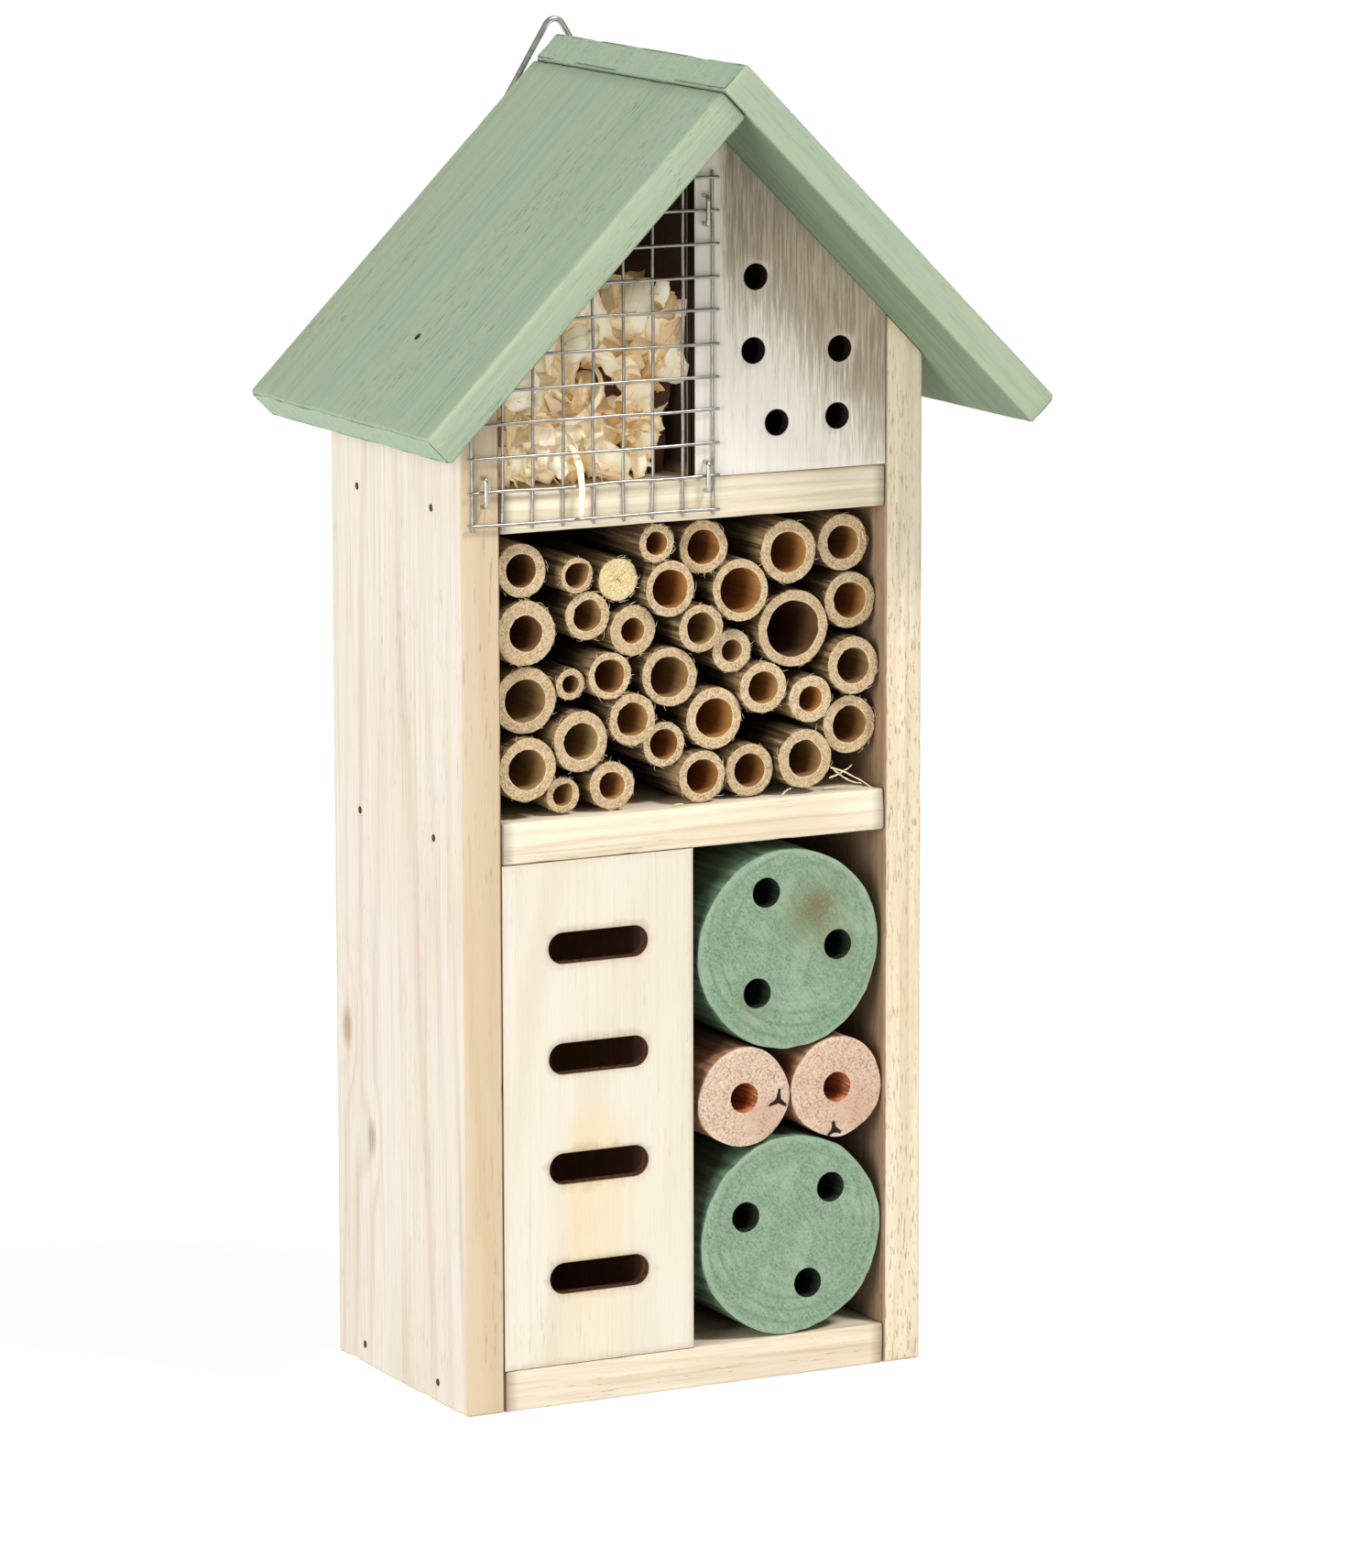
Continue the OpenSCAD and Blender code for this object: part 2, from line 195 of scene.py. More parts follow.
def put(tree, kind, values, out=0, **settings):
    node = tree.nodes.new("ShaderNode" + kind)
    for key, value in settings.items():
        setattr(node, key, value)
    for key, value in values.items():
        if isinstance(value, bpy.types.NodeSocket):
            tree.links.new(value, node.inputs[key])
        else:
            node.inputs[key].default_value = value
    return node.outputs[out]


def calc(tree, operation, a, b=0.5):
    return put(tree, "Math", {0: a, 1: b}, operation=operation)


def times(tree, a, b):
    return calc(tree, "MULTIPLY", a, b)


def plus(tree, a, b):
    return calc(tree, "ADD", a, b)


def minus(tree, a, b):
    return calc(tree, "SUBTRACT", a, b)


def mixed(tree, share, a, b):
    def rgba(colour):
        return colour if isinstance(colour, bpy.types.NodeSocket) else (*colour, 1)
    return put(tree, "Mix", {0: share, 6: rgba(a), 7: rgba(b)}, out=2, data_type="RGBA")


def tinted(tree, colour, cover, depth, tone):
    # the tone laid over the colour where the cover is, as strongly as depth says
    return mixed(tree, times(tree, cover, depth), colour, tone)


def noise(tree, vector, scale, detail=3.0, roughness=0.6):
    return put(tree, "TexNoise", {"Vector": vector, "Scale": scale, "Detail": detail, "Roughness": roughness})


def drawnOut(tree, vector, scales, detail=3.0, roughness=0.6):
    # noise with a scale of its own along each axis
    return noise(tree, put(tree, "Mapping", {"Vector": vector, "Scale": scales}), 1.0, detail, roughness)


def between(tree, value, low, high):
    # 0 below low, 1 above high, smooth in between
    return put(tree, "MapRange", {"Value": value, "From Min": low, "From Max": high},
               interpolation_type="SMOOTHSTEP")


def attribute(tree, name, out="Vector"):
    return put(tree, "Attribute", {}, out=out, attribute_name=name)


def distance(tree, vector, spot, stretch=(1, 1, 1)):
    # how far each point is from the spot, after its axes are stretched
    away = put(tree, "VectorMath", {0: vector, 1: spot}, operation="SUBTRACT")
    if stretch != (1, 1, 1):
        away = put(tree, "VectorMath", {0: away, 1: stretch}, operation="MULTIPLY")
    return put(tree, "VectorMath", {0: away}, out="Value", operation="LENGTH")


def separated(tree, vector):
    parts = tree.nodes.new("ShaderNodeSeparateXYZ")
    tree.links.new(vector, parts.inputs[0])
    return parts.outputs


def objectPlace(tree):
    return put(tree, "TexCoord", {}, out="Object")


def fed(tree, shader, socket, value):
    tree.links.new(value, shader.inputs[socket])


def ranged(tree, value, low, high, start=0.0, end=1.0):
    # the value's stretch from start to end, carried over to low up to high
    return put(tree, "MapRange", {"Value": value, "From Min": start, "From Max": end, "To Min": low,
                                  "To Max": high})


def level(tree, name):
    return attribute(tree, name, "Fac")


def bumped(tree, shader, height, depth):
    tree.links.new(put(tree, "Bump", {"Height": height, "Distance": depth, "Strength": 1.0}),
                   shader.inputs["Normal"])


def rgb(*levels):
    # display levels 0 to 255 as linear colour
    share = np.array(levels) / 255
    return tuple(np.where(share > 0.04045, ((share + 0.055) / 1.055) ** 2.4, share / 12.92))


# wood: growth rings, fibres and pores worked out in each board's own directions

def boardWood(name, look):
    # grain holds (along, across, through); rings are cones round a pith that lies outside the board
    material, tree, shader = newMaterial(name, Specular_IOR_Level=0.3)
    grain = attribute(tree, "grain")
    warp = drawnOut(tree, grain, (9, 45, 45), 2.0, 0.5)
    wander = drawnOut(tree, grain, (3, 12, 12), 2.0, 0.5)
    along, across, through = separated(tree, grain)
    drift = times(tree, minus(tree, wander, 0.5), look["wander"])
    across = plus(tree, across, drift)
    knotShade = None
    for place, size in look.get("knots", ()):
        far = distance(tree, grain, (*place, 0), (0.55, 1, 0))
        pull = put(tree, "MapRange", {"Value": far, "From Min": 0, "From Max": size * 3.2,
                                      "To Min": size * 1.9, "To Max": 0},
                   interpolation_type="SMOOTHERSTEP")
        across = plus(tree, across, pull)
        shade = between(tree, far, size * 0.9, size * 0.15)
        knotShade = shade if knotShade is None else calc(tree, "MAXIMUM", knotShade, shade)
    depth = plus(tree, through, look["pith"])
    radius = calc(tree, "SQRT", plus(tree, times(tree, across, across),
                                     times(tree, depth, depth)))
    cone = plus(tree, radius, times(tree, along, look["taper"]))
    phase = plus(tree, calc(tree, "DIVIDE", cone, look["ringGap"]),
                 times(tree, warp, look["warp"]))
    wave = plus(tree, times(tree, calc(tree, "SINE", times(tree, phase, turn)), 0.5), 0.5)
    late = calc(tree, "POWER", wave, 3.0)
    late = times(tree, late, between(tree, drawnOut(tree, grain, (5, 70, 70), 2.0, 0.5), 0.3, 0.75))
    fibre = drawnOut(tree, grain, (70, 1500, 1500), 4.0, 0.65)
    lines = drawnOut(tree, grain, (18, 1000, 1000), 3.0, 0.7)
    streak = drawnOut(tree, grain, (8, 330, 330))
    pores = between(tree, drawnOut(tree, grain, look["poreSize"], 2.0), *look["poreCut"])
    clusters = between(tree, drawnOut(tree, grain, (11, 50, 50), 2.0, 0.5), 0.42, 0.62)
    pores = times(tree, pores, calc(tree, "MAXIMUM", clusters, 0.25))
    blotch = between(tree, drawnOut(tree, grain, look["blotchSize"], 3.0, 0.55),
                     0.4, 0.72)
    colour = tinted(tree, look["pale"], late, look["ringDepth"], look["late"])
    colour = tinted(tree, colour, blotch, look["blotchDepth"], look["blotch"])
    colour = tinted(tree, colour, between(tree, streak, 0.48, 0.72), look["streakDepth"], look["streak"])
    if knotShade is not None:
        rough = times(tree, knotShade, between(tree, fibre, 0.2, 0.62))
        colour = tinted(tree, colour, rough, 0.75, look["knot"])
    sawn = level(tree, "sawn")
    colour = tinted(tree, colour, sawn, look["sawnDepth"], look["sawn"])
    colour = tinted(tree, colour, between(tree, lines, 0.46, 0.72), look["lineDepth"], look["line"])
    colour = tinted(tree, colour, between(tree, fibre, 0.45, 0.8), look["fibreDepth"], look["late"])
    colour = tinted(tree, colour, pores, look["poreDepth"], look["pore"])
    wear = times(tree, level(tree, "wear"),
                between(tree, drawnOut(tree, grain, (150, 500, 500)), 0.3, 0.65))
    colour = tinted(tree, colour, wear, look["wearDepth"], look["worn"])
    endWise = level(tree, "endGrain")
    patchy = between(tree, drawnOut(tree, grain, (60, 620, 90)), 0.4, 0.62)
    speckled = between(tree, drawnOut(tree, grain, (900, 1500, 900), 3.0, 0.7), 0.5, 0.72)
    endTone = mixed(tree, patchy, look["end"], look["endPatch"])
    endTone = tinted(tree, endTone, speckled, 0.45, look["endSpeck"])
    colour = tinted(tree, colour, endWise, look["endDepth"], endTone)
    if "shadeTone" in look:
        # painted shadow: a greyer area that ends in a hatch of fine upright strokes
        hatch = drawnOut(tree, grain, (130, 2600, 2600))
        reach = plus(tree, level(tree, "shade"),
                     times(tree, minus(tree, hatch, 0.5), 1.7))
        grey = mixed(tree, between(tree, hatch, 0.36, 0.62), look["shadeTone"], look["shadeLine"])
        grey = mixed(tree, between(tree, level(tree, "shade"), 1.0, 0.2), grey, look["shadePale"])
        colour = tinted(tree, colour, between(tree, reach, 0.1, 0.75), look["shadeDepth"], grey)
    # the figure tone: the grain's darker arches on the slotted panel, and painted shade above the upper shelf
    # on the back panel
    if "figureAndPaintedShade" in look:
        colour = tinted(tree, colour, level(tree, "shade"), 0.6, look["figureAndPaintedShade"])
    # painted shade: faces inside the house and the roof's underside are tinted darker brown
    colour = tinted(tree, colour, level(tree, "inner"), look["innerDepth"],
                    mixed(tree, between(tree, lines, 0.35, 0.7), look["inner"], look["innerLine"]))
    # darker where the board ends meet the next part
    grime = level(tree, "grime")
    colour = tinted(tree, colour, grime, 0.85, look["grime"])
    if "char" in look:
        scorch = times(tree, level(tree, "scorch"), between(tree, fibre, 0.1, 0.6))
        colour = tinted(tree, colour, scorch, 0.7, look["scorch"])
        burnt = mixed(tree, between(tree, fibre, 0.35, 0.7), look["char"], look["charLight"])
        colour = mixed(tree, level(tree, "cut"), colour, burnt)
    fed(tree, shader, "Base Color", colour)
    fed(tree, shader, "Roughness", ranged(tree, fibre, look["rough"] - 0.08, look["rough"] + 0.08))
    height = plus(tree, times(tree, fibre, 0.6), times(tree, lines, 0.4))
    bumped(tree, shader, minus(tree, height, times(tree, pores, 0.35)),
           look["relief"] * mm)
    return material


# inner and innerLine are painted shade for the faces inside the house
pineLook = {"pale": rgb(242, 232, 208), "late": rgb(206, 178, 134), "blotch": rgb(216, 192, 154),
            "streak": rgb(206, 182, 142), "line": rgb(178, 144, 98), "pore": rgb(126, 92, 56),
            "worn": rgb(216, 198, 164), "end": rgb(208, 184, 140), "endPatch": rgb(190, 160, 114),
            "endSpeck": rgb(150, 116, 74), "knot": rgb(160, 122, 80), "sawn": rgb(238, 223, 190),
            "inner": rgb(142, 104, 72), "innerLine": rgb(112, 78, 50), "grime": rgb(84, 60, 38),
            "ringGap": 7.5 * mm, "pith": 60 * mm, "taper": 0.03, "warp": 0.8, "wander": 22 * mm,
            "ringDepth": 0.5, "blotchDepth": 0.45, "streakDepth": 0.5, "lineDepth": 0.32,
            "fibreDepth": 0.28, "poreCut": (0.64, 0.7), "poreSize": (150, 2600, 2600),
            "poreDepth": 0.35, "wearDepth": 0.25, "endDepth": 0.6, "sawnDepth": 0.35, "innerDepth": 0.8,
            "rough": 0.62, "relief": 0.14, "blotchSize": (14, 40, 40)}
wallLook = dict(pineLook, pale=rgb(232, 225, 212), late=rgb(200, 170, 140), streak=rgb(220, 198, 176),
                blotch=rgb(224, 208, 188), line=rgb(194, 166, 138), ringGap=4.5 * mm, pith=18 * mm, warp=0.5,
                wander=14 * mm, ringDepth=0.62, streakDepth=0.45, sawn=rgb(206, 178, 132), sawnDepth=0.65,
                knots=(((0.066, 0.024), 3.6 * mm), ((0.046, 0.013), 3.0 * mm)))
shelfLook = dict(pineLook, ringGap=2.3 * mm, pith=9 * mm, wander=44 * mm, warp=2.4, ringDepth=0.5,
                 sawnDepth=0.1, pale=rgb(248, 239, 216), late=rgb(204, 168, 116), lineDepth=0.22,
                 poreDepth=0.45)
baseLook = dict(shelfLook, pale=rgb(236, 226, 204), late=rgb(196, 162, 114), blotch=rgb(214, 190, 152))
rightLook = dict(pineLook, poreDepth=0.55, poreCut=(0.58, 0.66), poreSize=(330, 2400, 2400),
                 pore=rgb(140, 112, 80), ringGap=4 * mm, pith=24 * mm)
# inner and innerLine are painted shade for the roof boards' underside
roofLook = {"pale": rgb(163, 177, 148), "late": rgb(140, 158, 131), "blotch": rgb(150, 177, 160),
            "streak": rgb(150, 171, 149), "line": rgb(126, 148, 120), "pore": rgb(52, 66, 46),
            "worn": rgb(190, 196, 156), "end": rgb(170, 185, 152), "endPatch": rgb(154, 180, 160),
            "endSpeck": rgb(92, 114, 86), "knot": rgb(90, 100, 70), "sawn": rgb(180, 191, 163),
            "inner": rgb(112, 134, 110), "innerLine": rgb(96, 118, 92), "grime": rgb(36, 48, 34),
            "ringGap": 5 * mm, "pith": 80 * mm, "taper": 0.02, "warp": 0.9, "wander": 16 * mm,
            "ringDepth": 0.35, "blotchDepth": 0.5, "streakDepth": 0.4, "lineDepth": 0.4,
            "fibreDepth": 0.42, "poreCut": (0.63, 0.7), "poreSize": (260, 3600, 3600), "poreDepth": 0.6,
            "wearDepth": 0.4, "endDepth": 0.8, "sawnDepth": 0.4, "innerDepth": 0.75, "rough": 0.7,
            "relief": 0.16, "blotchSize": (4, 60, 60)}
shelfWood = boardWood("shelfPine", shelfLook)
baseWood = boardWood("basePine", baseLook)
wallWood = boardWood("wallPine", wallLook)
rightWood = boardWood("rightPine", rightLook)
roofWood = boardWood("roofStain", roofLook)


# boards: a rounded outline carried along the length, drawn in at both ends

def boardSurface(size, edge, gap):
    # local points from 0 to size along, across and through; the outline shrinks to a line at the ends
    length, width, depth = size
    corner = np.linspace(0, turn / 4, 4)
    half = np.array([width, depth]) / 2

    def stations(span):
        # stops along one side, closer together towards its ends
        if span <= 4 * gap:
            return np.array([0.5])
        angle = np.linspace(0, math.pi, max(2, int(round(span / gap))) + 1)[1:-1]
        return (1 - np.cos(angle)) / 2

    acrossStops, throughStops = stations(width), stations(depth)

    def outline(inset):
        reach = np.maximum(half - inset, 0)
        radius = min(edge, reach.min())
        ring = []
        for quarter in range(4):
            way = np.array([[1, 1], [-1, 1], [-1, -1], [1, -1]][quarter])
            middle = way * (reach - radius)
            angle = corner + quarter * turn / 4
            ring.append(middle + radius * np.stack([np.cos(angle), np.sin(angle)], -1))
            nextWay = np.array([[-1, 1], [-1, -1], [1, -1], [1, 1]][quarter])
            nextStart = nextWay * (reach - radius) + radius * np.array(
                [math.cos((quarter + 1) * turn / 4), math.sin((quarter + 1) * turn / 4)])
            stops = (acrossStops if quarter % 2 == 0 else throughStops)[:, None]
            ring.append(ring[-1][-1] * (1 - stops) + nextStart * stops)
        return np.concatenate(ring)

    inset = [half.min() * share for share in (1, 0.8, 0.55, 0.3, 0.12)]
    places = [0.0] * len(inset)
    for angle in np.linspace(0, turn / 4, 4):
        inset.append(edge * (1 - math.sin(angle)))
        places.append(edge * (1 - math.cos(angle)))
    count = int(round((length - 2 * edge) / gap))
    middle = np.linspace(edge, length - edge, count + 1)[1:-1]
    inset += [0.0] * len(middle) + inset[::-1]
    places = places + middle.tolist() + [length - place for place in places[::-1]]
    rings = np.array([outline(value) for value in inset])
    along = np.broadcast_to(np.array(places)[:, None], rings.shape[:2])
    points = np.stack([along, rings[..., 0] + half[0], rings[..., 1] + half[1]], -1)
    return points.reshape(-1, 3), gridFaces(len(places), rings.shape[1], False, True)


def makeBoard(name, place, size, material, seed, stands, edge=0.5 * mm, chips=0.25 * mm, start=None,
              slotName="pine", innerFace=0, seams=(0, 0)):
    # place turns local (along, across, through) points into the frame; seams darken the two ends, and
    # innerFace is 1 where the far face lies inside the house, or -1 for the near face
    points, faces = boardSurface(size, edge, spacing["board"])
    fromSides = np.minimum(points, np.array(size) - points)
    near = np.sort(fromSides, axis=1)[:, :2]
    edgeNear = np.exp(-(near ** 2).sum(1) / (0.9 * mm) ** 2)
    bite = np.clip(ripple(points, 9 * mm, seed) + 0.4 * ripple(points, 2.5 * mm, seed + 1) - 0.5, 0, 2)
    inward = unit(np.array(size) / 2 - points) * (fromSides < 1.2 * mm)
    moved = points + inward * (edgeNear * bite * chips)[:, None]
    rng = np.random.default_rng(seed)
    shift = [rng.uniform(-0.3, 0.3), rng.uniform(0, 0.02), rng.uniform(0, 0.02)] if start is None else start
    seam = seams[0] * np.exp(-(points[:, 0] / (0.7 * mm)) ** 2)
    seam += seams[1] * np.exp(-((size[0] - points[:, 0]) / (0.7 * mm)) ** 2)
    # the inner face gets painted shade: boardWood tints it darker brown
    faceGap = size[2] - points[:, 2] if innerFace > 0 else points[:, 2]
    inner = (faceGap < 0.3 * mm) & (innerFace != 0)
    attributes = {
        "grain": points + shift - [0, size[1] / 2, 0],
        "wear": np.exp(-(near ** 2).sum(1) / (0.8 * mm) ** 2) * (1 - np.clip(seam, 0, 1)),
        "endGrain": (fromSides[:, 0] < 0.3 * mm).astype(float),
        "sawn": (fromSides[:, 1] < 0.3 * mm).astype(float),
        "inner": inner.astype(float),
        "grime": seam,
    }
    makePiece(name, place(moved), faces, attributes, material, slotName, stands)


houseLow, houseHigh = nodeBox("left_wall")
wallOut, wallIn = -houseLow[0], -houseHigh[0]
frontY, backY = houseLow[1], houseHigh[1]
apexZ = nodeBox("back_panel")[1][2]


def underRoof(points):
    # walls and their tops lean up to the roof: heights stretch towards the slope over each x
    slope = apexZ - np.abs(points[:, 0])
    flat = apexZ - wallOut
    return np.stack([points[:, 0], points[:, 1], points[:, 2] * slope / flat], -1)


def wallPlace(outerX, inward):
    return lambda p: underRoof(np.stack([outerX + inward * p[:, 2], frontY + p[:, 1], p[:, 0]], -1))


wallSize = (apexZ - wallOut, backY - frontY, wallOut - wallIn)
makeBoard("leftWall", wallPlace(-wallOut, 1), wallSize, wallWood, 11, ["left_wall"], start=(0, 0, 0),
          innerFace=1)
makeBoard("rightWall", wallPlace(wallOut, -1), wallSize, rightWood, 23, ["right_wall"], innerFace=1)
for seed, node in enumerate(("base_board", "lower_shelf", "upper_shelf"), 31):
    low, high = nodeBox(node)
    makeBoard(node.replace("_b", "B").replace("_s", "S"),
              lambda p, low=low: low + p, high - low,
              baseWood if node == "base_board" else shelfWood, seed, [node], seams=(1, 1))
print("walls and shelves made")


def makeRoofBoard(node, side, seed):
    # the board lies in its slope's own directions: down the slope, back along Y, and out of the slope
    low, high = nodeBox(node)
    down = np.array([side, 0, -1]) / math.sqrt(2)
    out = np.array([side, 0, 1]) / math.sqrt(2)
    points = nodePoints(node)
    top, bottom = (points @ down).min(), (points @ down).max()
    inner, outer = (points @ out).min(), (points @ out).max()

    def place(p):
        back = np.array([0, 1, 0]) * (low[1] + p[:, 1:2])
        return down * (top + p[:, :1]) + out * (inner + p[:, 2:3]) + back

    size = (bottom - top, high[1] - low[1], outer - inner)
    name = "leftRoofBoard" if side < 0 else "rightRoofBoard"
    makeBoard(name, place, size, roofWood, seed, [node], edge=0.8 * mm, chips=0.35 * mm,
              slotName="green_stained_wood", innerFace=-1, seams=(1 if side < 0 else 0, 0))


makeRoofBoard("left_roof_board", -1, 47)
makeRoofBoard("right_roof_board", 1, 53)
print("roof made")


# thin plywood

plyLook = dict(pineLook, pale=rgb(230, 224, 206), late=rgb(214, 194, 160), streak=rgb(222, 210, 184),
               blotch=rgb(226, 212, 180), line=rgb(214, 196, 164), ringGap=14 * mm, pith=40 * mm, taper=0.16,
               wander=26 * mm, warp=1.1, ringDepth=0.4, streakDepth=0.3, lineDepth=0.22, fibreDepth=0.14,
               poreDepth=0.16, wearDepth=0.0, char=rgb(58, 36, 27), charLight=rgb(108, 72, 50),
               scorch=rgb(166, 128, 84), figureAndPaintedShade=rgb(233, 212, 168))
gableLook = dict(plyLook, pale=rgb(247, 242, 228), late=rgb(232, 219, 198), streak=rgb(226, 214, 194),
                 blotch=rgb(246, 240, 226), streakDepth=0.4, fibreDepth=0.2, taper=0.02,
                 shadeTone=rgb(188, 173, 151), shadeLine=rgb(150, 133, 110), shadePale=rgb(216, 204, 184),
                 shadeDepth=0.95, char=rgb(20, 14, 12), charLight=rgb(44, 30, 24), scorch=rgb(228, 220, 206))
del gableLook["figureAndPaintedShade"]
# inside ply of the back panel and lower divider: darker and browner than the front ply as painted shade of
# the chambers; its figure tone is the painted shade above the upper shelf
innerLook = dict(plyLook, pale=rgb(186, 146, 112), late=rgb(150, 108, 76), blotch=rgb(170, 128, 94),
                 streak=rgb(150, 108, 78), line=rgb(128, 90, 60), char=rgb(120, 86, 54),
                 charLight=rgb(92, 62, 38), scorch=rgb(140, 104, 70), figureAndPaintedShade=rgb(24, 15, 12))
# upper divider: near-black as painted shade of the gable chamber
duskLook = dict(innerLook, pale=rgb(74, 54, 44), late=rgb(58, 42, 34), blotch=rgb(66, 48, 38),
                streak=rgb(52, 38, 30), line=rgb(44, 32, 26), char=rgb(30, 20, 16), charLight=rgb(44, 32, 26))
frontPly = boardWood("slottedPly", plyLook)
gablePly = boardWood("drilledPly", gableLook)
innerPly = boardWood("innerPly", innerLook)
duskPly = boardWood("duskPly", duskLook)


def archShade(flat):
    # two long arches of darker summer wood, one above the other; the outline bulges where the grain turns
    made = np.zeros(len(flat))
    low, high = nodeBox("slotted_panel")
    middle = (low[0] + high[0]) / 2
    height = (flat[:, 1] - low[2]) / (high[2] - low[2])
    for shift, half, top, depth in ((-1 * mm, 6.2 * mm, 0.5, 1.0), (-0.5 * mm, 9.5 * mm, 0.53, 0.35)):
        across = (flat[:, 0] - middle - shift) / (half * (1 - 0.3 * np.clip(0.36 - height, 0, 1)))
        over = np.clip((height - top + 0.09) / 0.09, 0, 2)
        inside = 1 - across ** 2 - over ** 2
        made += depth * np.clip(inside / 0.35, 0, 1) * np.clip(height / 0.25, 0.3, 1)
    return np.clip(made, 0, 1)


def roofShade(flat):
    # painted shadow of the roof: the shaded area lies under the right slope, and leaves the strip along the
    # free edge pale
    under = apexZ - flat[:, 0] - flat[:, 1]
    edge = 27 * mm - 5 * mm * ripple(flat[:, :2] / mm, 34, 4, 5) * 0.4
    return np.clip((edge - under) / (32 * mm) + 0.5, 0, 1) * np.clip((flat[:, 0] - 5 * mm) / (1.8 * mm), 0, 1)


def innerDusk(flat):
    # painted shade: darker brown on the side that faces the upper chamber, where little light gets in
    low, high = nodeBox("back_panel")
    sill = nodeBox("upper_shelf")[1][2]
    return np.clip((flat[:, 1] - sill) / (6 * mm), 0, 1) * (flat[:, 2] < (low[1] + high[1]) / 2)


def frontLoops(node, smallest=0.8 * mm):
    # the closed edges of the node's front face as (x, z) points, wound with the material on the left
    work = bmesh.new()
    work.from_mesh(frame["nodes"][node].data)
    bmesh.ops.remove_doubles(work, verts=work.verts, dist=mergeWithin)
    front = min(vert.co.y for vert in work.verts)
    flat = [face for face in work.faces
            if face.normal.y < -0.99 and face.calc_center_median().y < front + 1e-5]
    inFront = set(flat)
    following, place = {}, {}
    for face in flat:
        for loop in face.loops:
            if any(other not in inFront for other in loop.edge.link_faces):
                following[loop.vert.index] = loop.link_loop_next.vert.index
                place[loop.vert.index] = (loop.vert.co.x, loop.vert.co.z)
    work.free()
    loops = []
    while following:
        at, walk = next(iter(following)), []
        while at in following:
            walk.append(place[at])
            at = following.pop(at)
        walk = np.array(walk)
        if np.ptp(walk, axis=0).max() > 2 * smallest:
            loops.append(walk)
    return sorted(loops, key=lambda walk: -np.ptp(walk, axis=0).max())


def subdivided(loop, gap):
    made = []
    for start, end in zip(loop, np.roll(loop, -1, 0)):
        steps = max(1, int(np.linalg.norm(end - start) / gap))
        made.append(start + (end - start) * (np.arange(steps) / steps)[:, None])
    return np.concatenate(made)


def insideOf(points, loops):
    # even-odd rule over every edge of every loop
    crossed = np.zeros(len(points), int)
    for loop in loops:
        a, b = loop[None], np.roll(loop, -1, 0)[None]
        x, z = points[:, :1], points[:, 1:]
        spans = (a[..., 1] > z) != (b[..., 1] > z)
        rise = np.where(spans, b[..., 1] - a[..., 1], 1)
        crossed += (spans & (x < a[..., 0] + (z - a[..., 1]) / rise * (b[..., 0] - a[..., 0]))).sum(1)
    return crossed % 2 == 1


def nearest(points, targets):
    return np.sqrt(((points[:, None] - targets[None]) ** 2).sum(-1)).min(1)


def filledFace(loops, gap, seed):
    # flat points and triangles over the area between the loops, on a slightly shaken grid
    rng = np.random.default_rng(seed)
    edges, start = [], 0
    for loop in loops:
        count = len(loop)
        edges += [(start + k, start + (k + 1) % count) for k in range(count)]
        start += count
    rim = np.concatenate(loops)
    low, high = rim.min(0), rim.max(0)
    xs, zs = np.meshgrid(np.arange(low[0], high[0], gap), np.arange(low[1], high[1], gap))
    filling = np.stack([xs.ravel(), zs.ravel()], -1) + rng.uniform(-0.22, 0.22, (xs.size, 2)) * gap
    filling = filling[insideOf(filling, loops)]
    filling = filling[nearest(filling, rim) > 0.45 * gap]
    flat = np.concatenate([rim, filling])
    made = delaunay_2d_cdt([Vector(p) for p in (flat / mm).tolist()], edges, [], 0, 1e-5)
    out = np.array([tuple(p) for p in made[0]]) * mm
    triangles = np.array(made[2])
    return out, triangles[insideOf(out[triangles].mean(1), loops)]


